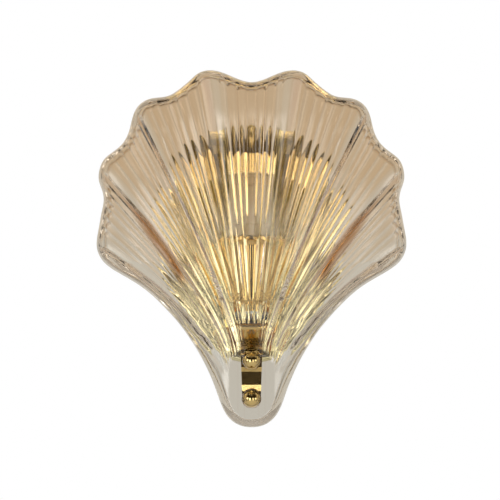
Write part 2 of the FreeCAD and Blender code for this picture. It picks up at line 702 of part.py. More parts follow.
# --- wiring -------------------------------------------------------------------
def wire(points, r):
    """Held wire: straight runs joined by tangent arcs as large as they fit."""
    P = [V(*p) for p in points]
    edges = []
    last = P[0]
    radii = []
    for i in range(1, len(P)-1):
        a, b = P[i-1]-P[i], P[i+1]-P[i]
        la, lb = a.Length, b.Length
        a.normalize()
        b.normalize()
        turn = math.pi - a.getAngle(b)
        cut = 0.45*min(la, lb)
        R = cut/math.tan(turn/2)
        radii.append(round(R, 1))
        t0, t1 = P[i]+a*cut, P[i]+b*cut
        m = (a+b)
        m.normalize()
        c = P[i]+m*(math.hypot(R, cut))
        mid = c - m*R
        edges.append(Part.makeLine(last, t0))
        edges.append(Part.Arc(t0, mid, t1).toShape())
        last = t1
    edges.append(Part.makeLine(last, P[-1]))
    path = Part.Wire(edges)
    d = edges[0].tangentAt(edges[0].FirstParameter)
    prof = Part.Wire([Part.makeCircle(r, P[0], d)])
    s = path.makePipeShell([prof], True, False)
    print("wire length", round(path.Length, 1), "radii", radii, "volume ratio",
          round(s.Volume/(math.pi*r*r*path.Length), 4))
    return s


def terminal_block():
    s = box(-12.0, 12.0, -18.5, -5.5, -30.0, -14.0)
    for x in (-4.0, 4.0):
        s = s.cut(box(x-1.0, x+1.0, -12.0, -5.0, -31, -13))
    for x in (-8.0, 0.0, 8.0):
        s = s.cut(zcyl(2.52, -31, -13, x, -12.0))
        for z in (-26.0, -18.0):
            s = s.cut(cyl(1.9, -12, -4, x, z))
    s = s.cut(cyl(1.7, -20, -4, 4.0, -22.0))
    s = s.cut(cyl(3.0, -13.5, -4, 4.0, -22.0))
    return s


def terminal_inserts():
    out = []
    for x in (-8.0, 0.0, 8.0):
        s = zcyl(2.5, -29.0, -15.0, x, -12.0).cut(zcyl(1.6, -30, -14, x, -12.0))
        for z in (-26.0, -18.0):
            s = s.cut(cyl(1.3, -12, -5, x, z))
        out.append(s)
    return out


def terminal_screws():
    out = []
    for x in (-8.0, 0.0, 8.0):
        for z in (-26.0, -18.0):
            out.append(screw(1.75, 1.6, 1.25, 2.7, (x, -8.0, z), (0, 1, 0), 0.5, 0.2))
    return out


def cable_grommet():
    f = -PLATE_D
    prof = [(3.4, -1.4), (7.0, -1.4), (7.6, -0.8), (7.6, 0.0), (4.95, 0.0), (4.95, PLATE_T), (7.2, PLATE_T),
            (7.2, PLATE_T+1.2), (6.6, PLATE_T+1.8), (3.4, PLATE_T+1.8)]
    return revolve(prof, (0, f, -54.0), (0, 1, 0))


def wire_live():
    return wire([(-5.0, LAMP_Y, HOLDER_Z0+2.6), (-5.0, LAMP_Y, -6.0), (-1.75, LAMP_Y, -22.0), (-1.75, LAMP_Y, -56.6),
                 (-1.75, -35.0, -56.9), (-1.75, -11.0, -53.6), (-4.0, -9.8, -42.5), (-8.0, -12.0, -34.0),
                 (-8.0, -12.0, -25.0)], 1.15)


def wire_neutral():
    return wire([(5.0, LAMP_Y, HOLDER_Z0+2.6), (5.0, LAMP_Y, -6.0), (1.75, LAMP_Y, -22.0), (1.75, LAMP_Y, -56.6),
                 (1.75, -35.0, -56.9), (1.75, -11.0, -53.6), (1.4, -9.8, -42.5), (0.0, -12.0, -34.0),
                 (0.0, -12.0, -25.0)], 1.15)


def wire_earth():
    return wire([(8.0, -12.0, -25.0), (8.0, -12.0, -36.0), (11.5, -11.5, -47.0), (10.5, -13.0, -60.0),
                 (8.4, -16.8, -67.0), (5.6, -16.8, -69.2)], 1.15)


def earth_ring():
    f = -PLATE_D+PLATE_T
    s = cyl(4.2, f, f+0.8, 0, -70.0)
    s = s.cut(cyl(2.2, f-1, f+2, 0, -70.0))
    arm = box(3.2, 6.6, f, f+0.8, -71.6, -68.4)
    barrel = place(Part.makeCylinder(1.9, 4.2).cut(Part.makeCylinder(1.2, 5, V(0, 0, 0.8))),
                   (4.0, -17.6+0.72, -70.4), (2.8, 0, 2.2))
    s = s.fuse(arm)
    return s.cut(cyl(2.2, f-1, f+2, 0, -70.0)).removeSplitter()


def strap_screws():
    y = -PLATE_D - STRAP_T
    return [screw(3.6, 2.4, 1.96, 10.0, (0, y, z), (0, -1, 0)) for z in (-70.0, -80.0)]


def strap_nuts():
    f = -PLATE_D+PLATE_T
    return [hexnut(7.0, 3.2, 2.0, (0, f+0.8, -70.0), (0, 1, 0)),
            hexnut(7.0, 3.2, 2.0, (0, f, -80.0), (0, 1, 0))]


def stud_nuts():
    back = SEAT_INNER_Y + GASKET_T + STRAP_T
    return [hexnut(7.0, 3.2, 2.0, (0, back, z), (0, 1, 0)) for z in STUD_Z]


def block_screw():
    # countersunk in the plate, its nut end inside the block
    s = screw(2.9, 1.3, 1.5, 12.0, (4.0, -PLATE_D-0.0, -22.0), (0, -1, 0), 0.7, 0.6)
    return s


NODES = {}


def add(name, shape):
    if isinstance(shape, (list, tuple)):
        shape = Part.makeCompound(list(shape))
    NODES[name] = shape
    sols = shape.Solids
    print("%-20s solids %d volume %9.1f valid %s" % (name, len(sols), shape.Volume, shape.isValid()))
    shape.exportStep("parts/%s.step" % name)


pad_y = SEAT_INNER_Y + GASKET_T
add("glass_shell", glass())
add("backplate", backplate())
add("wall_crossbar", wall_crossbar())
add("side_screws", side_screws())
add("strap_bracket", strap_bracket())
add("strap_screws", strap_screws())
add("strap_nuts", strap_nuts())
add("holder_bridge", holder_bridge())
add("nipple", nipple())
add("nipple_nut", hexnut(15.0, 4.0, 5.0, (0, LAMP_Y, CUP_Z0-1.6-4.0), (0, 0, 1)))
add("lampholder_cup", lampholder_cup())
add("lampholder_base", lampholder_base())
add("lampholder_shell", lampholder_shell())
add("lampholder_core", lampholder_core())
add("thread_shell", thread_shell())
add("centre_contact", centre_contact())
add("retaining_ring", retaining_ring())
add("stud_upper", stud(STUD_Z[0]))
add("stud_lower", stud(STUD_Z[1]))
add("stud_nuts", stud_nuts())
add("rear_gaskets", [ring(2.3, 7.0, SEAT_INNER_Y, pad_y, z) for z in STUD_Z])
add("front_gaskets", [ring(2.3, 6.6, SEAT_Y-FRONT_GASKET_T, SEAT_Y, z) for z in STUD_Z])
add("hole_sleeves", [ring(2.2, 4.3, SEAT_Y+0.1, SEAT_INNER_Y-0.1, z) for z in STUD_Z])
add("washer_upper", washer(STUD_Z[0]))
add("washer_lower", washer(STUD_Z[1]))
add("ball_nut_upper", ball_nut(STUD_Z[0]))
add("ball_nut_lower", ball_nut(STUD_Z[1]))
add("terminal_block", terminal_block())
add("terminal_inserts", terminal_inserts())
add("terminal_screws", terminal_screws())
add("block_screw", block_screw())
add("cable_grommet", cable_grommet())
add("wire_live", wire_live())
add("wire_neutral", wire_neutral())
add("wire_earth", wire_earth())
add("earth_ring", earth_ring())
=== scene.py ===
import bpy
import bmesh
import math
import numpy as np
from mathutils import Vector, Matrix


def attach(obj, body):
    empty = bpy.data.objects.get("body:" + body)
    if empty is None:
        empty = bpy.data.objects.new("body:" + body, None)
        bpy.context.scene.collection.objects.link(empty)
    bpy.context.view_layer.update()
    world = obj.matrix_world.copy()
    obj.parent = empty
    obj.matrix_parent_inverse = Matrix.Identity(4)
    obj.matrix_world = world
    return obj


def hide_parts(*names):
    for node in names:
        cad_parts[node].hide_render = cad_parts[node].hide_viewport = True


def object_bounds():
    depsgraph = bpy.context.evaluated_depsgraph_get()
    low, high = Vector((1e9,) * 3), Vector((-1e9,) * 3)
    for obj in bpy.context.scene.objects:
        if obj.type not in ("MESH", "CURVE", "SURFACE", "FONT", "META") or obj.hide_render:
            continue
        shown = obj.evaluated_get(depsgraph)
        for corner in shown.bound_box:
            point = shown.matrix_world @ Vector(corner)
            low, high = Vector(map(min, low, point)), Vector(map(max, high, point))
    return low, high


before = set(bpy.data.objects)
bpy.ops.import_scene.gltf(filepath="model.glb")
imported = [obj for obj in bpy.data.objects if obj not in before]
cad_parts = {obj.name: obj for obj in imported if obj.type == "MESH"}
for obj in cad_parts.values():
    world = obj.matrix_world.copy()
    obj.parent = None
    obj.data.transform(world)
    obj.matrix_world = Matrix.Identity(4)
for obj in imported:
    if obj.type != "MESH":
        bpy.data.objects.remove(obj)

CAD_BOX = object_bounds()
rng = np.random.default_rng(7)
MM = 0.001

# =============================================================================
# Camera: square to the wall, level with the middle of the glass
# =============================================================================
CAM_Y = -2.35
PX = 0.85 * MM
cam_data = bpy.data.cameras.new("camera")
cam = bpy.data.objects.new("camera", cam_data)
bpy.context.scene.collection.objects.link(cam)
cam_data.sensor_width = 36.0
cam_data.sensor_fit = "HORIZONTAL"
RIM_PLANE_Y = -0.045
cam_data.lens = 36.0 * (RIM_PLANE_Y - CAM_Y) / (500 * PX)
cam.location = (-1.5 * PX, CAM_Y, 0.0)
cam.rotation_euler = (math.radians(90), 0, 0)
cam_data.clip_start = 0.05
cam_data.clip_end = 50
bpy.context.scene.camera = cam


# =============================================================================
# Node helpers
# =============================================================================
def new_mat(name):
    m = bpy.data.materials.new(name)
    m.use_nodes = True
    nt = m.node_tree
    for n in list(nt.nodes):
        nt.nodes.remove(n)
    out = nt.nodes.new("ShaderNodeOutputMaterial")
    b = nt.nodes.new("ShaderNodeBsdfPrincipled")
    nt.links.new(b.outputs[0], out.inputs[0])
    return m, nt, b, out


def node(nt, kind, **kw):
    n = nt.nodes.new(kind)
    for k, v in kw.items():
        if k.startswith("in_"):
            key = k[3:].replace("_", " ")
            n.inputs[key].default_value = v
        else:
            setattr(n, k, v)
    return n


def ramp(nt, fac, stops, mode="LINEAR"):
    r = nt.nodes.new("ShaderNodeValToRGB")
    r.color_ramp.interpolation = mode
    e = r.color_ramp.elements
    while len(e) > 1:
        e.remove(e[-1])
    e[0].position = stops[0][0]
    e[0].color = (*stops[0][1], 1)
    for p, c in stops[1:]:
        k = e.new(p)
        k.color = (*c, 1)
    nt.links.new(fac, r.inputs[0])
    return r.outputs[0]


def coords(nt, scale=(1, 1, 1), rot=(0, 0, 0)):
    tc = nt.nodes.new("ShaderNodeTexCoord")
    mp = nt.nodes.new("ShaderNodeMapping")
    mp.inputs["Scale"].default_value = scale
    mp.inputs["Rotation"].default_value = rot
    nt.links.new(tc.outputs["Object"], mp.inputs["Vector"])
    return mp.outputs[0]


def noise(nt, vec, scale, detail=4.0, rough=0.55, dist=0.0):
    n = nt.nodes.new("ShaderNodeTexNoise")
    n.inputs["Scale"].default_value = scale
    n.inputs["Detail"].default_value = detail
    n.inputs["Roughness"].default_value = rough
    n.inputs["Distortion"].default_value = dist
    nt.links.new(vec, n.inputs["Vector"])
    return n.outputs["Fac"]


def bump(nt, b, height, strength, dist=0.001):
    n = nt.nodes.new("ShaderNodeBump")
    n.inputs["Strength"].default_value = strength
    n.inputs["Distance"].default_value = dist
    nt.links.new(height, n.inputs["Height"])
    nt.links.new(n.outputs[0], b.inputs["Normal"])
    return n


def maprange(nt, v, a, b_, c, d):
    n = nt.nodes.new("ShaderNodeMapRange")
    n.inputs["From Min"].default_value = a
    n.inputs["From Max"].default_value = b_
    n.inputs["To Min"].default_value = c
    n.inputs["To Max"].default_value = d
    nt.links.new(v, n.inputs["Value"])
    return n.outputs[0]


# =============================================================================
# Materials
# =============================================================================
def mat_brass(name, tone=(0.82, 0.62, 0.27), dark=(0.62, 0.42, 0.14), r0=0.05, r1=0.16,
              stretch=(1, 1, 1), wave=0.0):
    m, nt, b, _ = new_mat(name)
    v = coords(nt)
    big = noise(nt, v, 14.0, 3.0, 0.5, 0.3)
    col = ramp(nt, big, [(0.25, dark), (0.5, tone), (0.8, tuple(min(1, c * 1.08) for c in tone))])
    nt.links.new(col, b.inputs["Base Color"])
    b.inputs["Metallic"].default_value = 1.0
    fine = noise(nt, coords(nt, stretch), 900.0, 3.0, 0.6)
    mid = noise(nt, v, 60.0, 4.0, 0.6, 0.2)
    add = node(nt, "ShaderNodeMath", operation="MULTIPLY")
    nt.links.new(mid, add.inputs[0])
    nt.links.new(fine, add.inputs[1])
    nt.links.new(maprange(nt, add.outputs[0], 0.1, 0.45, r0, r1), b.inputs["Roughness"])
    h = node(nt, "ShaderNodeMath", operation="ADD")
    nt.links.new(fine, h.inputs[0])
    low = noise(nt, v, 28.0, 2.0, 0.4)
    k = node(nt, "ShaderNodeMath", operation="MULTIPLY")
    k.inputs[1].default_value = wave
    nt.links.new(low, k.inputs[0])
    nt.links.new(k.outputs[0], h.inputs[1])
    bump(nt, b, h.outputs[0], 0.06, 0.0004)
    return m


def mat_steel(name):
    m, nt, b, _ = new_mat(name)
    v = coords(nt)
    n1 = noise(nt, v, 220.0, 5.0, 0.6)
    col = ramp(nt, n1, [(0.3, (0.50, 0.52, 0.54)), (0.7, (0.68, 0.69, 0.70))])
    nt.links.new(col, b.inputs["Base Color"])
    b.inputs["Metallic"].default_value = 1.0
    n2 = noise(nt, coords(nt, (1, 1, 30)), 500.0, 3.0, 0.6)
    nt.links.new(maprange(nt, n2, 0.3, 0.7, 0.24, 0.42), b.inputs["Roughness"])
    bump(nt, b, n2, 0.08, 0.0003)
    return m


def mat_plastic(name, tone, shade, rough=(0.32, 0.46), grain=700.0, bs=0.08, sss=0.0):
    m, nt, b, _ = new_mat(name)
    v = coords(nt)
    n1 = noise(nt, v, 35.0, 4.0, 0.6)
    col = ramp(nt, n1, [(0.25, shade), (0.7, tone)])
    nt.links.new(col, b.inputs["Base Color"])
    n2 = noise(nt, v, grain, 3.0, 0.6)
    nt.links.new(maprange(nt, n2, 0.3, 0.7, rough[0], rough[1]), b.inputs["Roughness"])
    bump(nt, b, n2, bs, 0.0003)
    if sss:
        b.inputs["Subsurface Weight"].default_value = sss
        b.inputs["Subsurface Radius"].default_value = (0.004, 0.003, 0.002)
    return m


def mat_silicone(name):
    m, nt, b, _ = new_mat(name)
    v = coords(nt)
    n1 = noise(nt, v, 120.0, 3.0, 0.5)
    col = ramp(nt, n1, [(0.3, (0.80, 0.80, 0.76)), (0.7, (0.90, 0.90, 0.87))])
    nt.links.new(col, b.inputs["Base Color"])
    b.inputs["Transmission Weight"].default_value = 0.75
    b.inputs["IOR"].default_value = 1.41
    nt.links.new(maprange(nt, n1, 0.3, 0.7, 0.18, 0.34), b.inputs["Roughness"])
    bump(nt, b, n1, 0.05, 0.0003)
    return m


def mat_wire(name, tone, stripe=None):
    m, nt, b, _ = new_mat(name)
    v = coords(nt)
    n1 = noise(nt, v, 260.0, 4.0, 0.6)
    shade = tuple(c * 0.72 for c in tone)
    col = ramp(nt, n1, [(0.3, shade), (0.7, tone)])
    if stripe:
        w = node(nt, "ShaderNodeTexWave", wave_type="BANDS", bands_direction="X")
        w.inputs["Scale"].default_value = 140.0
        w.inputs["Distortion"].default_value = 1.2
        nt.links.new(v, w.inputs["Vector"])
        st = node(nt, "ShaderNodeMath", operation="GREATER_THAN")
        st.inputs[1].default_value = 0.55
        nt.links.new(w.outputs["Fac"], st.inputs[0])
        mx = node(nt, "ShaderNodeMix", data_type="RGBA")
        nt.links.new(st.outputs[0], mx.inputs[0])
        nt.links.new(col, mx.inputs[6])
        mx.inputs[7].default_value = (*stripe, 1)
        col = mx.outputs[2]
    nt.links.new(col, b.inputs["Base Color"])
    nt.links.new(maprange(nt, n1, 0.3, 0.7, 0.28, 0.42), b.inputs["Roughness"])
    bump(nt, b, n1, 0.06, 0.0002)
    return m


def mat_glass():
    """Pressed glass: rose in the bowl, fading to clear at the foot."""
    m, nt, b, out = new_mat("rose_pressed_glass")
    tc = nt.nodes.new("ShaderNodeTexCoord")
    sep = nt.nodes.new("ShaderNodeSeparateXYZ")
    nt.links.new(tc.outputs["Object"], sep.inputs[0])
    v = coords(nt)
    n1 = noise(nt, v, 9.0, 3.0, 0.5)
    wob = maprange(nt, n1, 0.2, 0.8, -0.012, 0.012)
    ad = node(nt, "ShaderNodeMath", operation="ADD")
    nt.links.new(sep.outputs["Z"], ad.inputs[0])
    nt.links.new(wob, ad.inputs[1])
    f = maprange(nt, ad.outputs[0], -0.151, 0.151, 0.0, 1.0)
    rose = (0.938, 0.790, 0.620)
    col = ramp(nt, f, [(0.0, (0.955, 0.960, 0.950)), (0.30, (0.955, 0.955, 0.940)), (0.44, (0.955, 0.925, 0.870)),
                       (0.58, (0.950, 0.875, 0.780)), (0.74, rose), (1.0, (0.930, 0.778, 0.608))])
    # this attribute carries painted shade and painted highlight marks, and a paler tint near the rim, into the glass
    # colour
    at = node(nt, "ShaderNodeAttribute", attribute_name="painted_light_and_rim_tint")
    sp = nt.nodes.new("ShaderNodeSeparateColor")
    nt.links.new(at.outputs["Color"], sp.inputs[0])

    def blend(fac, a_, c_, k_):
        mk = node(nt, "ShaderNodeMath", operation="MULTIPLY")
        nt.links.new(fac, mk.inputs[0])
        mk.inputs[1].default_value = k_
        mx_ = node(nt, "ShaderNodeMix", data_type="RGBA")
        nt.links.new(mk.outputs[0], mx_.inputs[0])
        nt.links.new(a_, mx_.inputs[6])
        mx_.inputs[7].default_value = (*c_, 1)
        return mx_.outputs[2]
    # green channel: painted highlight along the ridges, and a paler tint near the rim
    col = blend(sp.outputs["Green"], col, (0.97, 0.935, 0.875), 0.75)
    # blue channel: painted shade in the grooves
    col = blend(sp.outputs["Blue"], col, (0.72, 0.55, 0.40), 0.35)
    # red channel: painted amber shade along the steep walls
    col = blend(sp.outputs["Red"], col, (0.50, 0.22, 0.06), 1.0)
    # alpha: painted shade in the inner corner of the rim
    col = blend(at.outputs["Alpha"], col, (0.66, 0.50, 0.36), 1.0)
    nt.links.new(col, b.inputs["Base Color"])
    b.inputs["Transmission Weight"].default_value = 1.0
    b.inputs["IOR"].default_value = 1.5
    n2 = noise(nt, v, 40.0, 4.0, 0.6)
    nt.links.new(maprange(nt, n2, 0.35, 0.75, 0.0, 0.03), b.inputs["Roughness"])
    n3 = noise(nt, v, 55.0, 2.0, 0.4)
    bump(nt, b, n3, 0.02, 0.0012)
    va = nt.nodes.new("ShaderNodeVolumeAbsorption")
    va.inputs["Color"].default_value = (0.96, 0.55, 0.07, 1)
    va.inputs["Density"].default_value = 6.0
    nt.links.new(va.outputs[0], out.inputs["Volume"])
    return m


M_BRASS = mat_brass("polished_brass")
M_PLATE = mat_brass("polished_brass_plate", tone=(0.97, 0.905, 0.60), dark=(0.86, 0.76, 0.40), wave=1.5, r0=0.07, r1=0.16)
M_BALL = mat_brass("polished_brass_turned", r0=0.03, r1=0.10, stretch=(1, 6, 1))
M_CONTACT = mat_brass("stamped_brass", tone=(0.70, 0.58, 0.36), dark=(0.5, 0.38, 0.2), r0=0.18, r1=0.36)
M_STEEL = mat_steel("zinc_plated_steel")
M_PALE = mat_plastic("pale_thermoplastic", (0.95, 0.86, 0.61), (0.89, 0.79, 0.53), sss=0.15)
M_CERAMIC = mat_plastic("glazed_ceramic", (0.86, 0.85, 0.82), (0.78, 0.77, 0.74), (0.12, 0.22), 90.0, 0.05)
M_BLOCK = mat_plastic("block_plastic", (0.85, 0.85, 0.82), (0.74, 0.74, 0.71))
M_RUBBER = mat_plastic("black_rubber", (0.035, 0.035, 0.037), (0.018, 0.018, 0.02), (0.5, 0.7), 500.0, 0.15)
M_SIL = mat_silicone("clear_silicone")
M_BROWN = mat_wire("wire_brown", (0.20, 0.085, 0.035))
M_BLUE = mat_wire("wire_blue", (0.03, 0.14, 0.48))
M_GREEN = mat_wire("wire_green_yellow", (0.05, 0.34, 0.07), (0.80, 0.68, 0.05))
M_GLASS = mat_glass()

CAD_MATS = {
    "wall_crossbar": M_STEEL, "side_screws": M_BRASS, "strap_screws": M_STEEL, "strap_nuts": M_STEEL,
    "nipple": M_STEEL, "nipple_nut": M_BRASS, "lampholder_base": M_PALE, "lampholder_core": M_CERAMIC,
    "centre_contact": M_CONTACT, "stud_upper": M_BRASS, "stud_lower": M_BRASS, "stud_nuts": M_BRASS,
    "rear_gaskets": M_SIL, "front_gaskets": M_SIL, "hole_sleeves": M_SIL, "terminal_block": M_BLOCK,
    "terminal_inserts": M_CONTACT, "terminal_screws": M_STEEL, "block_screw": M_STEEL,
    "cable_grommet": M_RUBBER, "wire_live": M_BROWN, "wire_neutral": M_BLUE, "wire_earth": M_GREEN,
    "earth_ring": M_CONTACT, "backplate": M_PLATE, "strap_bracket": M_BRASS, "holder_bridge": M_BRASS,
    "lampholder_cup": M_BRASS, "lampholder_shell": M_PALE, "thread_shell": M_CONTACT,
    "retaining_ring": M_PALE, "washer_upper": M_BALL, "washer_lower": M_BALL, "ball_nut_upper": M_BALL,
    "ball_nut_lower": M_BALL, "glass_shell": M_GLASS,
}


def cad_objects(name):
    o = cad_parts[name]
    if isinstance(o, (list, tuple)):
        return list(o)
    return [o]


for nm, mt in CAD_MATS.items():
    for o in cad_objects(nm):
        if isinstance(o, str):
            o = bpy.data.objects[o]
        if not o.material_slots:
            o.data.materials.append(mt)
        for s in o.material_slots:
            s.material = mt


# =============================================================================
# Mesh helpers
# =============================================================================
def make_obj(name, verts, faces, mat, smooth_angle=35.0):
    me = bpy.data.meshes.new(name)
    me.from_pydata([tuple(v) for v in verts], [], [tuple(f) for f in faces])
    me.validate()
    me.update()
    me.materials.append(mat)
    me.polygons.foreach_set("use_smooth", [True] * len(me.polygons))
    if smooth_angle is not None:
        me.set_sharp_from_angle(angle=math.radians(smooth_angle))
    ob = bpy.data.objects.new(name, me)
    bpy.context.scene.collection.objects.link(ob)
    return ob


def fix_normals(ob):
    bm = bmesh.new()
    bm.from_mesh(ob.data)
    bmesh.ops.recalc_face_normals(bm, faces=bm.faces)
    bm.to_mesh(ob.data)
    bm.free()
    ob.data.update()


def arc_pts(cx, cy, r, a0, a1, n):
    return [(cx + r * math.cos(math.radians(a0 + (a1 - a0) * i / n)),
             cy + r * math.sin(math.radians(a0 + (a1 - a0) * i / n))) for i in range(n + 1)]


def round_profile(pts, r, n=4):
    """Closed profile with each corner rounded by up to r."""
    out = []
    m = len(pts)
    for i in range(m):
        p0, p1, p2 = np.array(pts[i - 1]), np.array(pts[i]), np.array(pts[(i + 1) % m])
        a, b = p0 - p1, p2 - p1
        la, lb = np.linalg.norm(a), np.linalg.norm(b)
        if la < 1e-9 or lb < 1e-9:
            continue
        a, b = a / la, b / lb
        ang = math.acos(max(-1, min(1, float(a @ b))))
        on_axis = abs(p1[0]) < 1e-9
        if on_axis or ang > math.radians(176):
            out.append(tuple(p1))
            continue
        cut = min(r / math.tan(ang / 2), 0.45 * la, 0.45 * lb)
        rr = cut * math.tan(ang / 2)
        c = p1 + (a + b) / np.linalg.norm(a + b) * math.hypot(cut, rr)
        s, e = p1 + a * cut - c, p1 + b * cut - c
        t0 = math.atan2(s[1], s[0])
        t1 = math.atan2(e[1], e[0])
        d = (t1 - t0 + math.pi) % (2 * math.pi) - math.pi
        for k in range(n + 1):
            t = t0 + d * k / n
            out.append((c[0] + rr * math.cos(t), c[1] + rr * math.sin(t)))
    return out


def lathe(name, profile, base, axis, mat, seg=128, closed=True, smooth_angle=38.0, wob=None):
    """Turned piece from (radius, height) pairs in mm about an axis."""
    z = Vector(axis).normalized()
    q = Vector((0, 0, 1)).rotation_difference(z)
    M = Matrix.Translation(Vector(base) * MM) @ q.to_matrix().to_4x4()
    verts, faces, rows = [], [], []
    for r, h in profile:
        if r < 1e-6:
            rows.append([len(verts)])
            verts.append((0, 0, h))
        else:
            rows.append(list(range(len(verts), len(verts) + seg)))
            for k in range(seg):
                a = 2 * math.pi * k / seg
                rr = r if wob is None else r + wob(r, h, a)
                verts.append((rr * math.cos(a), rr * math.sin(a), h))
    n = len(rows)
    pairs = [(i, i + 1) for i in range(n - 1)] + ([(n - 1, 0)] if closed else [])
    for i, j in pairs:
        A, B = rows[i], rows[j]
        if len(A) == 1 and len(B) == 1:
            continue
        for k in range(seg):
            k2 = (k + 1) % seg
            if len(A) == 1:
                faces.append((A[0], B[k2], B[k]))
            elif len(B) == 1:
                faces.append((A[k], A[k2], B[0]))
            else:
                faces.append((A[k], A[k2], B[k2], B[k]))
    verts = [tuple(M @ (Vector(v) * MM)) for v in verts]
    ob = make_obj(name, verts, faces, mat, smooth_angle)
    fix_normals(ob)
    return ob


# =============================================================================
# The glass shell
# =============================================================================
GLASS_T = 5.5
RIDGE_H = 5.0
TONGUE_Y = -50.0
BOSS_R, BOSS_H = 8.2, 0.3
SEAT_Y = TONGUE_Y - BOSS_H
SEAT_INNER_Y = TONGUE_Y + GLASS_T + BOSS_H
STUD_Z = (-93.5, -125.8)
GLASS_HOLE_R = 4.5
RIM = [(0.0, 140.3), (17.0, 145.2), (34.0, 150.2), (44.6, 147.9), (51.0, 142.8),
       (59.0, 136.2), (70.1, 129.6), (86.3, 127.3), (94.8, 122.4), (99.2, 116.0),
       (102.0, 107.1), (104.2, 99.5), (108.4, 91.8), (116.6, 84.2), (125.8, 76.5),
       (129.4, 68.0), (129.9, 59.0), (127.1, 50.5), (126.0, 42.5), (127.9, 32.0),
       (130.1, 20.4), (132.4, 7.0), (131.4, -2.5), (126.7, -10.2), (115.5, -18.6),
       (99.5, -28.0), (85.6, -38.3), (73.1, -50.5), (59.5, -66.3), (49.0, -81.6),
       (41.0, -95.5), (34.2, -109.7), (29.3, -122.4), (25.5, -132.6),
       (19.6, -142.8), (10.5, -149.4), (0.0, -151.3)]
FACE = [(-170, -50), (-92, -50), (-86, -51.0), (-75, -61.0), (-61, -75.0),
        (-40, -88), (-10, -98), (20, -104.5), (60, -108.5), (100, -109),
        (130, -106), (165, -99)]
FALL = [(-170, .020), (-110, .020), (-86, .013), (-61, .0085), (-40, .0062),
        (-10, .0033), (20, .0030), (60, .0028), (100, .0034), (165, .0034)]
TURN = [(-170, 15.0), (-110, 14.0), (-60, 17.0), (-20, 22.0), (40, 24.0),
        (100, 22.0), (165, 19.0)]
TURN_W = [(-170, 11.0), (-100, 11.0), (-60, 12.0), (0, 14.0), (165, 14.0)]
FLAT_X = [(-170, 15.0), (-88, 15.0), (-62, 0.0), (165, 0.0)]
TURN_K = 0.90
FAN = [(0.0, (0, -80), (0, -30), (0, 140)),
       (0.5, (5.5, -82), (8.5, -33), (34, 150)),
       (1.0, (8.5, -85), (13.5, -35), (70, 130)),
       (1.5, (11, -88), (18.2, -36.5), (98, 120)),
       (2.0, (14.5, -93), (22.5, -40.5), (107, 96)),
       (2.5, (17.5, -98), (27, -44.6), (126, 68)),
       (3.0, (19.5, -101.5), (38, -49), (127, 42)),
       (3.5, (21, -105), (45, -53.5), (130, 5)),
       (4.0, (24, -112), (50.5, -67.5), (120.5, -16.5)),
       (5.0, (40, -125), (75, -95), (120, -70))]


def pchip(tab):
    """Monotone cubic through a table, as a dense lookup."""
    n = len(tab)
    xs = [t[0] for t in tab]
    ys = [t[1] for t in tab]

    def slope(i):
        if i <= 0:
            return 0.0
        if i >= n - 1:
            return (ys[-1] - ys[-2]) / (xs[-1] - xs[-2])
        a = (ys[i] - ys[i - 1]) / (xs[i] - xs[i - 1])
        b = (ys[i + 1] - ys[i]) / (xs[i + 1] - xs[i])
        return 0.0 if a * b <= 0 else 2 * a * b / (a + b)
    m = [slope(i) for i in range(n)]
    X, Y = [], []
    for k in range(n - 1):
        h = xs[k + 1] - xs[k]
        for i in range(200):
            t = i / 200
            X.append(xs[k] + h * t)
            Y.append((2 * t**3 - 3 * t * t + 1) * ys[k] + (t**3 - 2 * t * t + t) * m[k] * h +
                     (-2 * t**3 + 3 * t * t) * ys[k + 1] + (t**3 - t * t) * m[k + 1] * h)
    X.append(xs[-1])
    Y.append(ys[-1])
    X, Y = np.array(X), np.array(Y)
    return lambda v: np.interp(v, X, Y)


f_face, f_fall, f_turn, f_turnw, f_flat = map(pchip, (FACE, FALL, TURN, TURN_W, FLAT_X))


def sstep(a, b, v):
    t = np.clip((v - a) / (b - a), 0, 1)
    return t * t * (3 - 2 * t)


def closed_spline(pts, per=40):
    """Periodic cubic spline through points, sampled evenly."""
    P = np.array(pts, float)
    n = len(P)
    h = np.linalg.norm(np.roll(P, -1, 0) - P, axis=1)
    A = np.zeros((n, n))
    R = np.zeros((n, 2))
    for i in range(n):
        hm, hp = h[i - 1], h[i]
        A[i, (i - 1) % n] += hm
        A[i, i] += 2 * (hm + hp)
        A[i, (i + 1) % n] += hp
        R[i] = 6 * ((P[(i + 1) % n] - P[i]) / hp - (P[i] - P[i - 1]) / hm)
    M = np.linalg.solve(A, R)
    out = []
    for i in range(n):
        j = (i + 1) % n
        for k in range(per):
            t = k / per * h[i]
            a, b = h[i] - t, t
            out.append(M[i] * a**3 / (6 * h[i]) + M[j] * b**3 / (6 * h[i]) +
                       (P[i] / h[i] - M[i] * h[i] / 6) * a + (P[j] / h[i] - M[j] * h[i] / 6) * b)
    return np.array(out)


_left = [(-x, z) for x, z in RIM[1:-1]][::-1]
LOOP = closed_spline(RIM + _left)          # clockwise from the top notch
_i0 = 0
_half = LOOP[:(len(RIM) - 1) * 40 + 1]     # right half, top notch to foot


def resample(P, n):
    d = np.r_[0, np.cumsum(np.linalg.norm(np.diff(P, axis=0), axis=1))]
    s = np.linspace(0, d[-1], n)
    return np.c_[np.interp(s, d, P[:, 0]), np.interp(s, d, P[:, 1])]


HALF = resample(_half, 520)
SEG_A, SEG_B = HALF[:-1], HALF[1:]


def rim_dist(x, z):
    x = np.abs(x)
    out = np.empty_like(x)
    for i in range(0, len(x), 4000):
        px = x[i:i + 4000, None] - SEG_A[None, :, 0]
        pz = z[i:i + 4000, None] - SEG_A[None, :, 1]
        e = SEG_B - SEG_A
        t = np.clip((px * e[:, 0] + pz * e[:, 1]) / (e ** 2).sum(1), 0, 1)
        d = (px - t * e[:, 0]) ** 2 + (pz - t * e[:, 1]) ** 2
        out[i:i + 4000] = np.sqrt(d.min(1))
    return out


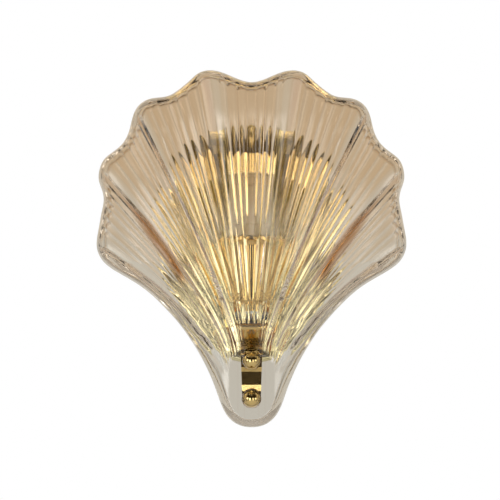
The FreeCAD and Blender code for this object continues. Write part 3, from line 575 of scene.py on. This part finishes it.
_s = np.linspace(0, 5, 151)
_cols = [pchip([(f[0], f[k][c]) for f in FAN])(_s) for k in (1, 2, 3) for c in (0, 1)]
FSX, FSZ, FCX, FCZ, FEX, FEZ = _cols


def fan(x, z):
    """Place across the fan (one per lobe) and along it, for each point."""
    x = np.abs(x)
    S, T = np.empty_like(x), np.empty_like(x)
    for i in range(0, len(x), 20000):
        zz = z[i:i + 20000, None]
        xx = x[i:i + 20000]
        a = FSZ - 2 * FCZ + FEZ
        b = 2 * (FCZ - FSZ)
        c = FSZ - zz
        t = (-b + np.sqrt(np.maximum(b * b - 4 * a * c, 0))) / (2 * a)
        tt = np.clip(t, 0, 1)
        X = (1 - tt) ** 2 * FSX + 2 * tt * (1 - tt) * FCX + tt * tt * FEX
        over = t > 1
        dz = 2 * (FEZ - FCZ)
        dx = 2 * (FEX - FCX)
        k = np.where(dz > 1, (zz - FEZ) / np.maximum(dz, 1), 0)
        X = np.where(over, FEX + k * dx, X)
        tt = np.where(over, 1 + np.clip(k, 0, 0.3), tt)
        idx = np.clip((X <= xx[:, None]).sum(1) - 1, 0, len(_s) - 2)
        r = np.arange(len(xx))
        x0, x1 = X[r, idx], X[r, idx + 1]
        f = np.clip((xx - x0) / np.maximum(x1 - x0, 1e-6), 0, 1)
        S[i:i + 20000] = _s[idx] + f * (_s[idx + 1] - _s[idx])
        T[i:i + 20000] = tt[r, idx] + f * (tt[r, idx + 1] - tt[r, idx])
    return S, T


def ridge(s):
    p = s - np.floor(s)
    return np.where(s > 4, 0, sstep(0.06, 0.48, p) * (1 - sstep(0.50, 0.84, p)))


POLE = np.array([0.0, -45.0])


def fan_ends(s):
    return (np.interp(s, _s, FCX), np.interp(s, _s, FCZ), np.interp(s, _s, FEX), np.interp(s, _s, FEZ))


def glass_grid():
    """Right half of a grid of curved rays from a pole to the outline; the rays
    follow the ribs where they reach the rim."""
    nh = 860
    O = resample(_half, nh + 1)
    O[0, 0] = O[-1, 0] = 0.0
    v = O - POLE
    L = np.linalg.norm(v, axis=1)
    psi = np.arctan2(v[:, 1], v[:, 0])
    s, _ = fan(O[:, 0], O[:, 1])
    cx, cz, ex, ez = fan_ends(np.minimum(s, 4.0))
    phi_fan = np.arctan2(ez - cz, ex - cx)
    k = sstep(math.radians(2), math.radians(34), psi)
    dlt = (phi_fan - psi) * k
    # a little smoothing along the rim keeps neighbouring rays apart
    win = np.hanning(61)
    win /= win.sum()
    dlt = np.convolve(np.r_[-dlt[30:0:-1], dlt, dlt[-2:-32:-1]], win, "valid")
    dlt[0] = 0.0
    phi = psi + dlt
    M = O - 0.5 * L[:, None] * np.stack([np.cos(phi), np.sin(phi)], -1)
    M[0, 0] = M[-1, 0] = 0.0
    e = np.array([0, .10, .22, .37, .56, .80, 1.08, 1.4, 1.8, 2.25, 2.75, 3.3, 3.9, 4.55, 5.25, 6.0,
                  6.8, 7.7, 8.7, 9.8, 11.0, 12.3, 13.7, 15.2])
    step = 1.2
    m = int(round((L.mean() - 16.5) / step))
    far = 1 - e[None, :] / L[:, None]                      # rim side, falling
    near = np.linspace(0.012, 1, m, endpoint=False)[None, :] * (1 - 16.4 / L[:, None])
    rr = np.concatenate([near, far[:, ::-1]], 1)
    P = ((1 - rr) ** 2)[..., None] * POLE + (2 * rr * (1 - rr))[..., None] * M[:, None, :] + \
        (rr ** 2)[..., None] * O[:, None, :]
    return P                                              # (nh + 1, rows, 2), last row on the rim


def grid_normals(V):
    """Vertex normals of a grid of points, area weighted."""
    d1 = V[1:, 1:] - V[:-1, :-1]
    d2 = V[:-1, 1:] - V[1:, :-1]
    n = np.cross(d1, d2)
    N = np.zeros_like(V)
    N[:-1, :-1] += n
    N[1:, :-1] += n
    N[:-1, 1:] += n
    N[1:, 1:] += n
    N /= np.maximum(np.linalg.norm(N, axis=2, keepdims=True), 1e-12)
    if N[..., 1].mean() > 0:
        N = -N
    return N


def uneven(n):
    """Height of one rib against the mean: no two are quite alike."""
    v = np.sin(n * 12.9898 + 4.1) * 43758.5453
    return 0.62 + 0.66 * (v - np.floor(v))


def rib_profile(p, s, pitch):
    """Rounded ribs with sharp grooves between them, along the valleys."""
    q = np.where(p > 0.5, p - 1.0, p)
    u = (q + 0.315) / pitch
    k = np.sin(math.pi * u)
    h = (np.sqrt(k * k + 0.012) - 0.11) * uneven(np.floor(u) + 17 * np.floor(s + 0.5)) - 0.51
    return h * sstep(-0.335, -0.30, q) * (1 - sstep(0.335, 0.375, q))


def mid_profile(s, pitch):
    """Broader ribs of the middle valley, one of them on the centre line."""
    u = s / pitch + 0.5
    k = np.sin(math.pi * u)
    h = (np.sqrt(k * k + 0.012) - 0.11) * uneven(np.floor(u) + 60) - 0.51
    return h * (1 - sstep(0.375, 0.42, s))


def steep_ridge(s, t):
    """The outer side of the ridges is a steep wall over part of its length."""
    p = s - np.floor(s)
    lobe = np.floor(s)
    k = np.where(lobe == 2, sstep(0.20, 0.36, t) * (1 - 0.75 * sstep(0.66, 0.93, t)), 0)
    k = np.where(lobe == 3, 0.9 * sstep(0.35, 0.6, t), k)
    k = np.where(lobe == 1, 0.10 + 0.75 * sstep(0.60, 0.85, t), k)
    k = np.where(lobe == 0, 0.10 + 0.35 * sstep(0.80, 0.95, t), k)
    wd = np.where(lobe == 2, 0.20 - 0.09 * sstep(0.45, 0.85, t), 0.13)
    soft = sstep(0.50, 0.84, p)
    hard = np.clip((p - 0.52) / wd, 0, 1)
    hard = 0.75 * hard + 0.25 * hard * hard * (3 - 2 * hard)
    return np.where(s > 4, 0, sstep(0.06, 0.48, p) * (soft - hard) * k), k


TURN_R, TURN_A = 7.2, math.radians(82)


def turn_back(d, h):
    """Rounded shoulder and steep wall of the rim, over distance from the rim."""
    x1, y1, g = TURN_R * math.sin(TURN_A), TURN_R * (1 - math.cos(TURN_A)), math.tan(TURN_A)
    w = x1 + (h - y1) / g
    e = np.maximum(w - d, 0)
    return np.where(e < x1, TURN_R - np.sqrt(np.maximum(TURN_R ** 2 - np.minimum(e, x1) ** 2, 0)), y1 + (e - x1) * g)


def depth_field(x, z):
    ax = np.abs(x)
    q = np.maximum(0, np.sqrt(ax * ax + 4) - 2 - f_flat(z))
    y = f_face(z) + f_fall(z) * q * q
    s, t = fan(x, z)
    y -= RIDGE_H * ridge(s) * sstep(0.10, 0.85, t)
    d = rim_dist(x, z)
    y += turn_back(d, f_turn(z))
    return y, s, t, d


def build_glass():
    P = glass_grid()
    nh, nb = P.shape[0] - 1, P.shape[1]
    x, z = P[..., 0].ravel(), P[..., 1].ravel()
    # slopes are read a little inside the outline
    cx, cz = x - POLE[0], z - POLE[1]
    ln = np.maximum(np.hypot(cx, cz), 1e-6)
    y, s, t, d = depth_field(x, z)
    h = 0.10
    inside = np.clip(0.25 - d, 0, 0.25)
    xi, zi = x - cx / ln * inside, z - cz / ln * inside
    dyx = (depth_field(xi + h, zi)[0] - depth_field(xi - h, zi)[0]) / (2 * h)
    dyz = (depth_field(xi, zi + h)[0] - depth_field(xi, zi - h)[0]) / (2 * h)

    def whole(v, odd=False):
        v = v.reshape(nh + 1, nb)
        return np.vstack([v, (-v if odd else v)[-2:0:-1]])
    dyx, dyz = whole(dyx, True), whole(dyz)
    dyx[0] = dyx[nh] = 0.0
    N = np.stack([dyx, -np.ones_like(dyx), dyz], -1)
    N /= np.linalg.norm(N, axis=2, keepdims=True)
    x, y, z, s, t, d = whole(x, True).ravel(), whole(y).ravel(), whole(z).ravel(), whole(s).ravel(), whole(t).ravel(), whole(d).ravel()
    na = 2 * nh
    base = np.stack([x, y, z], -1).reshape(na, nb, 3)
    ph = s - np.floor(s)
    tc = np.clip(t, 0, 1)
    x05 = (1 - tc) ** 2 * 5.5 + 2 * tc * (1 - tc) * 8.5 + tc * tc * 34 + np.maximum(t - 1, 0) * 51
    sm = 0.5 * np.abs(x) / x05                     # even spacing across the middle valley
    width = 4.5 + 38.0 * tc ** 1.35                # of one lobe, across the ribs

    # the ribs run together in twos towards the foot
    def ribs(pm, pl):
        h_ = np.where(s > 4.2, 0, np.where(s < 0.5, mid_profile(sm, pm), rib_profile(ph, s, pl)))
        return h_, np.minimum(1.25, 0.30 * np.where(s < 0.5, pm, pl) * width)
    w_top, w_low = sstep(0.50, 0.66, t), 1 - sstep(0.22, 0.38, t)
    rib, rib_h = 0, 0
    for (h_, a_), w_ in ((ribs(0.128, 0.115), w_top), (ribs(0.256, 0.23), 1 - w_top - w_low), (ribs(0.256, 0.345), w_low)):
        rib = rib + h_ * w_
        rib_h = rib_h + h_ * a_ * w_
    lower = np.where(s < 0.5, sstep(0.12, 0.22, t), sstep(0.0, 0.06, t))
    lower = lower + (sstep(0.0, 0.06, t) - lower) * sstep(0.40, 0.50, s) * (s < 0.5)
    # the lower flanks and the foot end in a plain band
    plain = 1 - sstep(3.25, 3.60, s) * (1 - sstep(8.0, 16.0, d))
    lower = lower * plain
    amp = 0.35 + 0.65 * np.where(s < 1.4, 1.0 - 0.35 * sstep(0.85, 1.0, t), 1.0 - 0.62 * sstep(0.60, 0.92, t))
    rib_in = rib_h * lower * amp * sstep(0.8, 4.5, d)
    rib_out = rib_h * lower * 0.36 * amp * sstep(0.4, 2.5, d)
    ds, kk = steep_ridge(s, t)
    # the wall is undercut: a fall in front, nearly none behind
    rdg = 7.5 * ds * sstep(0.10, 0.85, t) * sstep(1.0, 9.0, d)
    # the ridges keep their crowns down to the foot
    low_r = 2.1 * np.where(s > 4, 0, ridge(s)) * np.clip(sstep(0.0, 0.10, t) * (0.45 + 0.55 * sstep(0.08, 0.28, t)) - sstep(0.30, 0.85, t), 0, 1) * sstep(2.0, 9.0, d)
    # long faint waves left by the press
    wave = 0.10 * np.sin(0.11 * x + 1.7 * np.sin(0.05 * z)) * np.sin(0.085 * z + 0.6) + 0.05 * np.sin(0.21 * z + 0.13 * x)
    outer = base + N * (rib_out + rdg + low_r + 0.6 * wave).reshape(na, nb)[..., None]
    inner = base - N * (GLASS_T - 0.2 + rib_in - 0.6 * wave - 0.3 * rdg - 0.8 * low_r).reshape(na, nb)[..., None]
    # painted light in the glass colour: painted amber shade along the steep walls, painted highlight along the ridges
    # with a paler tint near the rim, painted shade in the grooves
    # painted amber shade: darker reddish glass colour along the steep ridge walls, where the view runs a long way
    # through the glass
    pp = s - np.floor(s)
    wall_c = 0.52 + 0.5 * np.where(np.floor(s) == 2, 0.20 - 0.09 * sstep(0.45, 0.85, t), 0.13)
    wall_w = np.where(np.floor(s) == 2, 0.105 - 0.035 * sstep(0.45, 0.85, t), 0.055)
    amber_painted_shade = np.exp(-((pp - wall_c) / wall_w) ** 4) * kk * np.where(s > 4, 0, 1) * sstep(1.5, 6.0, d)
    # painted amber shade down the steep wall of the third lobe
    third = np.exp(-((pp - 0.60 - 0.10 * (1 - sstep(0.52, 0.68, t))) / (0.035 + 0.15 * (1 - sstep(0.74, 0.92, t)))) ** 4)
    third *= sstep(0.50, 0.60, t) * (1 - 0.65 * sstep(0.78, 0.94, t)) * sstep(1.5, 6.0, d)
    amber_painted_shade = np.where(np.floor(s) == 2, third, amber_painted_shade * 0.55)
    # painted highlight: paler glass colour along the ridge crests; near the rim, a paler tint of the glass
    ridge_highlight_and_pale_rim = np.exp(-((pp - 0.47) / 0.10) ** 2) * np.where(s > 4, 0, 1) * sstep(0.15, 0.4, t)
    ridge_highlight_and_pale_rim = np.maximum(ridge_highlight_and_pale_rim, 1 - sstep(3.0, 7.5, d))
    # painted shade: darker glass colour in the grooves between the ribs
    groove_painted_shade = np.clip(0.62 - 0.62 * np.clip(rib + 0.62, 0, 1), 0, 1) * (rib != 0) * lower
    shade = np.stack([amber_painted_shade, ridge_highlight_and_pale_rim, groove_painted_shade, np.zeros_like(ridge_highlight_and_pale_rim)], -1)
    # painted shade: a thin darker band in the inner corner, where the rim turns back from the bowl
    x1, y1 = TURN_R * math.sin(TURN_A), TURN_R * (1 - math.cos(TURN_A))
    fall = x1 + (f_turn(z) - y1) / math.tan(TURN_A) - d
    line = sstep(3.6, 5.0, fall) * (1 - sstep(7.2, 7.5, fall)) * (sstep(-75.0, -25.0, z) + 1 - sstep(-122.0, -104.0, z))
    shade_in = np.stack([amber_painted_shade, ridge_highlight_and_pale_rim, groove_painted_shade, line], -1)
    # rounded rim between the two faces
    nO = na * nb
    ring_o = np.arange(na) * nb + nb - 1
    ring_i = ring_o + nO
    # the two middles
    po = outer[:, 0].mean(0)
    pi_ = inner[:, 0].mean(0)
    allv = np.vstack([outer.reshape(-1, 3), inner.reshape(-1, 3), [po], [pi_]])
    ip_o, ip_i = 2 * nO, 2 * nO + 1
    Po, Pi = allv[ring_o], allv[ring_i]
    Nn = N[:, -1]
    # outward across the edge: square to the outline and to the wall
    T = np.roll(base[:, -1], -1, 0) - np.roll(base[:, -1], 1, 0)
    D = np.cross(T, Nn)
    D /= np.maximum(np.linalg.norm(D, axis=1)[:, None], 1e-9)
    if D[:, 1].mean() < 0:
        D = -D
    k = 9
    rings, extra = [], []
    off = len(allv)
    mid, half = (Po + Pi) / 2, (Po - Pi) / 2
    for m in range(1, k):
        aa = math.pi * m / k
        extra.append(mid + half * math.cos(aa) + D * 1.6 * math.sin(aa))
        rings.append(np.arange(off, off + na))
        off += na
    allv = np.vstack([allv] + extra)
    lo, hi = (np.array(CAD_BOX[i_], float) / MM for i_ in (0, 1))
    allv = np.clip(allv, lo + 0.01, hi - 0.01)
    rim_shade = shade.reshape(na, nb, 4)[:, -1]
    shade_all = np.vstack([shade, shade_in, shade[:1], shade[:1]] + [rim_shade] * (k - 1))
    I, J = np.meshgrid(np.arange(na), np.arange(nb - 1), indexing="ij")
    I2 = (I + 1) % na
    v00, v10 = (I * nb + J).ravel(), (I2 * nb + J).ravel()
    v11, v01 = (I2 * nb + J + 1).ravel(), (I * nb + J + 1).ravel()
    fo = np.stack([v00, v10, v11, v01], -1)
    fi = np.stack([v00, v01, v11, v10], -1) + nO
    seq = [ring_o] + rings + [ring_i]
    fr = []
    for A, Bq in zip(seq[:-1], seq[1:]):
        fr.append(np.stack([A, np.roll(A, -1), np.roll(Bq, -1), Bq], -1))
    faces = np.vstack([fo, fi] + fr)
    c0 = np.arange(na) * nb
    tri_o = np.stack([np.full(na, ip_o), np.roll(c0, -1), c0], -1)
    tri_i = np.stack([np.full(na, ip_i), c0 + nO, np.roll(c0, -1) + nO], -1)
    me = bpy.data.meshes.new("glass_shell_pressed")
    me.vertices.add(len(allv))
    me.vertices.foreach_set("co", (allv * MM).astype(np.float32).ravel())
    tris = np.vstack([tri_o, tri_i])
    nq, nt = len(faces), len(tris)
    me.loops.add(4 * nq + 3 * nt)
    me.polygons.add(nq + nt)
    me.loops.foreach_set("vertex_index", np.r_[faces.ravel(), tris.ravel()].astype(np.int32))
    me.polygons.foreach_set("loop_start", np.r_[np.arange(nq) * 4, 4 * nq + np.arange(nt) * 3].astype(np.int32))
    me.polygons.foreach_set("loop_total", np.r_[np.full(nq, 4), np.full(nt, 3)].astype(np.int32))
    me.update(calc_edges=True)
    me.validate()
    # vertex colour holding the painted shade, the painted highlight and the paler rim tint for the glass material
    att = me.attributes.new("painted_light_and_rim_tint", "FLOAT_COLOR", "POINT")
    att.data.foreach_set("color", shade_all.astype(np.float32).ravel())
    me.polygons.foreach_set("use_smooth", [True] * len(me.polygons))
    ob = bpy.data.objects.new("glass_shell_pressed", me)
    bpy.context.scene.collection.objects.link(ob)
    bm = bmesh.new()
    bm.from_mesh(me)
    bmesh.ops.recalc_face_normals(bm, faces=bm.faces)
    open_edges = sum(1 for e_ in bm.edges if not e_.is_manifold)
    bm.to_mesh(me)
    bm.free()
    me.update()
    print("glass verts", len(me.vertices), "open edges", open_edges)
    # stud holes and their flat moulded rings
    for zz in STUD_Z:
        boss = lathe("tmp_boss", round_profile([(0, SEAT_Y), (BOSS_R, SEAT_Y), (BOSS_R, SEAT_INNER_Y), (0, SEAT_INNER_Y)], 0.35, 3),
                     (0, 0, zz), (0, 1, 0), M_GLASS, 96)
        hole = lathe("tmp_hole", [(0, -70), (GLASS_HOLE_R, -70), (GLASS_HOLE_R, -30), (0, -30)],
                     (0, 0, zz), (0, 1, 0), M_GLASS, 96)
        for tool, op in ((boss, "UNION"), (hole, "DIFFERENCE")):
            md = ob.modifiers.new("b", "BOOLEAN")
            md.object = tool
            md.operation = op
            md.solver = "MANIFOLD"
            dg = bpy.context.evaluated_depsgraph_get()
            nm = bpy.data.meshes.new_from_object(ob.evaluated_get(dg))
            if len(nm.vertices) < 1000:
                md.solver = "EXACT"
                dg = bpy.context.evaluated_depsgraph_get()
                nm = bpy.data.meshes.new_from_object(ob.evaluated_get(dg))
                print("exact cut", op)
            ob.modifiers.clear()
            ob.data = nm
            bpy.data.objects.remove(tool)
    ob.data.name = "glass_shell_pressed"
    print("glass attributes", [(a_.name, a_.domain) for a_ in ob.data.attributes if not a_.name.startswith(".")], len(ob.data.vertices))
    ob.data.materials.clear()
    ob.data.materials.append(M_GLASS)
    ob.data.polygons.foreach_set("material_index", [0] * len(ob.data.polygons))
    ob.data.polygons.foreach_set("use_smooth", [True] * len(ob.data.polygons))
    ob.data.set_sharp_from_angle(angle=math.radians(50))
    return ob


glass = build_glass()
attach(glass, "root")
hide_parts("glass_shell")


# =============================================================================
# Stage and light
# =============================================================================
def area(name, loc, rot, size, power, color=(1, 1, 1), size_y=None):
    l = bpy.data.lights.new(name, "AREA")
    l.shape = "RECTANGLE"
    l.size = size
    l.size_y = size_y or size
    l.energy = power
    l.color = color
    o = bpy.data.objects.new(name, l)
    o.location = loc
    o.rotation_euler = rot
    o.visible_glossy = False
    o.visible_transmission = False
    bpy.context.scene.collection.objects.link(o)
    return o


def aim(o, target=(0, 0, 0)):
    d = Vector(target) - o.location
    o.rotation_euler = d.to_track_quat("-Z", "Y").to_euler()


world = bpy.data.worlds.new("studio")
bpy.context.scene.world = world
world.use_nodes = True
wt = world.node_tree
for n in list(wt.nodes):
    wt.nodes.remove(n)
wo = wt.nodes.new("ShaderNodeOutputWorld")
bg_seen = wt.nodes.new("ShaderNodeBackground")
bg_seen.inputs["Color"].default_value = (1, 1, 1, 1)
bg_seen.inputs["Strength"].default_value = 1.0
bg_lit = wt.nodes.new("ShaderNodeBackground")
lp = wt.nodes.new("ShaderNodeLightPath")
mixw = wt.nodes.new("ShaderNodeMixShader")
tcw = wt.nodes.new("ShaderNodeTexCoord")
spw = wt.nodes.new("ShaderNodeSeparateXYZ")
wt.links.new(tcw.outputs["Generated"], spw.inputs[0])
# grey wall tone behind, broad bright front, dark sides and ceiling
def soft_spot(direction, a, b_, level):
    """Smooth patch of light around a direction; a and b_ are cosines."""
    dn = Vector(direction).normalized()
    dt = node(wt, "ShaderNodeVectorMath", operation="DOT_PRODUCT")
    wt.links.new(tcw.outputs["Generated"], dt.inputs[0])
    dt.inputs[1].default_value = tuple(dn)
    m_ = wt.nodes.new("ShaderNodeMapRange")
    m_.interpolation_type = "SMOOTHSTEP"
    m_.inputs["From Min"].default_value = a
    m_.inputs["From Max"].default_value = b_
    m_.inputs["To Min"].default_value = 0.0
    m_.inputs["To Max"].default_value = level
    wt.links.new(dt.outputs["Value"], m_.inputs["Value"])
    return m_.outputs[0]


def total(parts):
    acc = parts[0]
    for q_ in parts[1:]:
        ad_ = node(wt, "ShaderNodeMath", operation="ADD")
        wt.links.new(acc, ad_.inputs[0])
        wt.links.new(q_, ad_.inputs[1])
        acc = ad_.outputs[0]
    return acc


def level_of(v):
    n_ = wt.nodes.new("ShaderNodeValue")
    n_.outputs[0].default_value = v
    return n_.outputs[0]


def tinted(v, col):
    c_ = node(wt, "ShaderNodeVectorMath", operation="SCALE")
    c_.inputs[0].default_value = col
    wt.links.new(v, c_.inputs["Scale"])
    return c_.outputs[0]


# the wall behind: warm above, cooler below
warm = ramp(wt, maprange(wt, spw.outputs["Z"], -0.10, 0.10, 0.0, 1.0),
            [(0.0, (0.560, 0.545, 0.495)), (0.40, (0.560, 0.520, 0.450)), (0.85, (0.575, 0.500, 0.395))])
wall = node(wt, "ShaderNodeVectorMath", operation="SCALE")
wt.links.new(warm, wall.inputs[0])
wt.links.new(soft_spot((0, 1, 0), 0.02, 0.60, 1.0), wall.inputs["Scale"])
def ring_light(direction, c_in0, c_in1, c_out1, c_out0, level):
    a_ = soft_spot(direction, c_out0, c_out1, level)
    b_ = soft_spot(direction, c_in1, c_in0, 1.0)
    inv = node(wt, "ShaderNodeMath", operation="SUBTRACT")
    inv.inputs[0].default_value = 1.0
    wt.links.new(b_, inv.inputs[1])
    m_ = node(wt, "ShaderNodeMath", operation="MULTIPLY")
    wt.links.new(a_, m_.inputs[0])
    wt.links.new(inv.outputs[0], m_.inputs[1])
    return m_.outputs[0]


def times(a_, b_):
    m_ = node(wt, "ShaderNodeMath", operation="MULTIPLY")
    wt.links.new(a_, m_.inputs[0])
    wt.links.new(b_, m_.inputs[1])
    return m_.outputs[0]


def across(z0, z1, y0, y1, axis="Z"):
    """Smooth change with the height, or the side, of a direction."""
    m_ = wt.nodes.new("ShaderNodeMapRange")
    m_.interpolation_type = "SMOOTHSTEP"
    for k_, v_ in (("From Min", z0), ("From Max", z1), ("To Min", y0), ("To Max", y1)):
        m_.inputs[k_].default_value = v_
    wt.links.new(spw.outputs[axis], m_.inputs["Value"])
    return m_.outputs[0]


level_band = times(across(-0.50, -0.22, 0.02, 1.0), across(0.17, 0.33, 1.0, 0.0))
rest = total([
    soft_spot((0.0, -0.8425, 0.5388), 0.9962, 0.99863, 3.0),  # small light above the camera
    times(times(ring_light((0.02, -1, -0.01), 0.988, 0.952, 0.86, 0.72, 2.2), level_band),
          across(-0.40, 0.40, 1.50, 0.80, "X")),   # light beside the camera
    soft_spot((-0.75, -0.30, -0.60), 0.92, 0.975, 3.0),  # low left
    soft_spot((0.75, -0.30, -0.60), 0.92, 0.975, 3.0),   # low right
    times(soft_spot((0, -1, 0), 0.90, 0.99, 0.02), level_band),
    soft_spot((-0.94, -0.34, 0.12), 0.94, 0.985, 2.2),  # left window
    soft_spot((0.95, -0.30, 0.05), 0.95, 0.985, 1.8),   # right strip
    soft_spot((0.0, -0.25, 1.0), 0.90, 0.985, 0.2),    # overhead
    soft_spot((0.0, -0.3, -1.0), 0.75, 0.97, 0.12),    # floor bounce
])
both = node(wt, "ShaderNodeVectorMath", operation="ADD")
wt.links.new(wall.outputs[0], both.inputs[0])
wt.links.new(tinted(rest, (1.0, 0.985, 0.95)), both.inputs[1])
# dim brown room all round
room = node(wt, "ShaderNodeVectorMath", operation="ADD")
wt.links.new(both.outputs[0], room.inputs[0])
room.inputs[1].default_value = (0.028, 0.020, 0.010)
wt.links.new(room.outputs[0], bg_lit.inputs["Color"])
bg_lit.inputs["Strength"].default_value = 1.0
wt.links.new(lp.outputs["Is Camera Ray"], mixw.inputs[0])
wt.links.new(bg_lit.outputs[0], mixw.inputs[1])
wt.links.new(bg_seen.outputs[0], mixw.inputs[2])
wt.links.new(mixw.outputs[0], wo.inputs[0])

key = area("key", (-0.9, -1.5, 1.1), (0, 0, 0), 0.9, 12)
aim(key)
fill = area("fill", (1.3, -1.3, 0.1), (0, 0, 0), 0.8, 5)
aim(fill)
top = area("top", (0.0, -0.35, 1.3), (0, 0, 0), 1.0, 6)
aim(top)

floor_me = bpy.data.meshes.new("floor")
bmf = bmesh.new()
bmesh.ops.create_circle(bmf, cap_ends=True, radius=1.6, segments=96)
bmf.to_mesh(floor_me)
bmf.free()
floor = bpy.data.objects.new("floor", floor_me)
floor.location = (0, 0, -0.62)
bpy.context.scene.collection.objects.link(floor)
mf, ntf, bf, _ = new_mat("pale_floor")
nf = noise(ntf, coords(ntf), 3.0)
ntf.links.new(ramp(ntf, nf, [(0.3, (0.86, 0.86, 0.85)), (0.7, (0.9, 0.9, 0.89))]), bf.inputs["Base Color"])
bf.inputs["Roughness"].default_value = 0.8
floor_me.materials.append(mf)

sc = bpy.context.scene
sc.view_settings.view_transform = "Standard"
sc.view_settings.look = "None"
try:
    sc.cycles.max_bounces = 24
    sc.cycles.transmission_bounces = 24
    sc.cycles.glossy_bounces = 8
    sc.cycles.transparent_max_bounces = 16
    sc.cycles.caustics_reflective = True
    sc.cycles.caustics_refractive = True
except Exception:
    pass
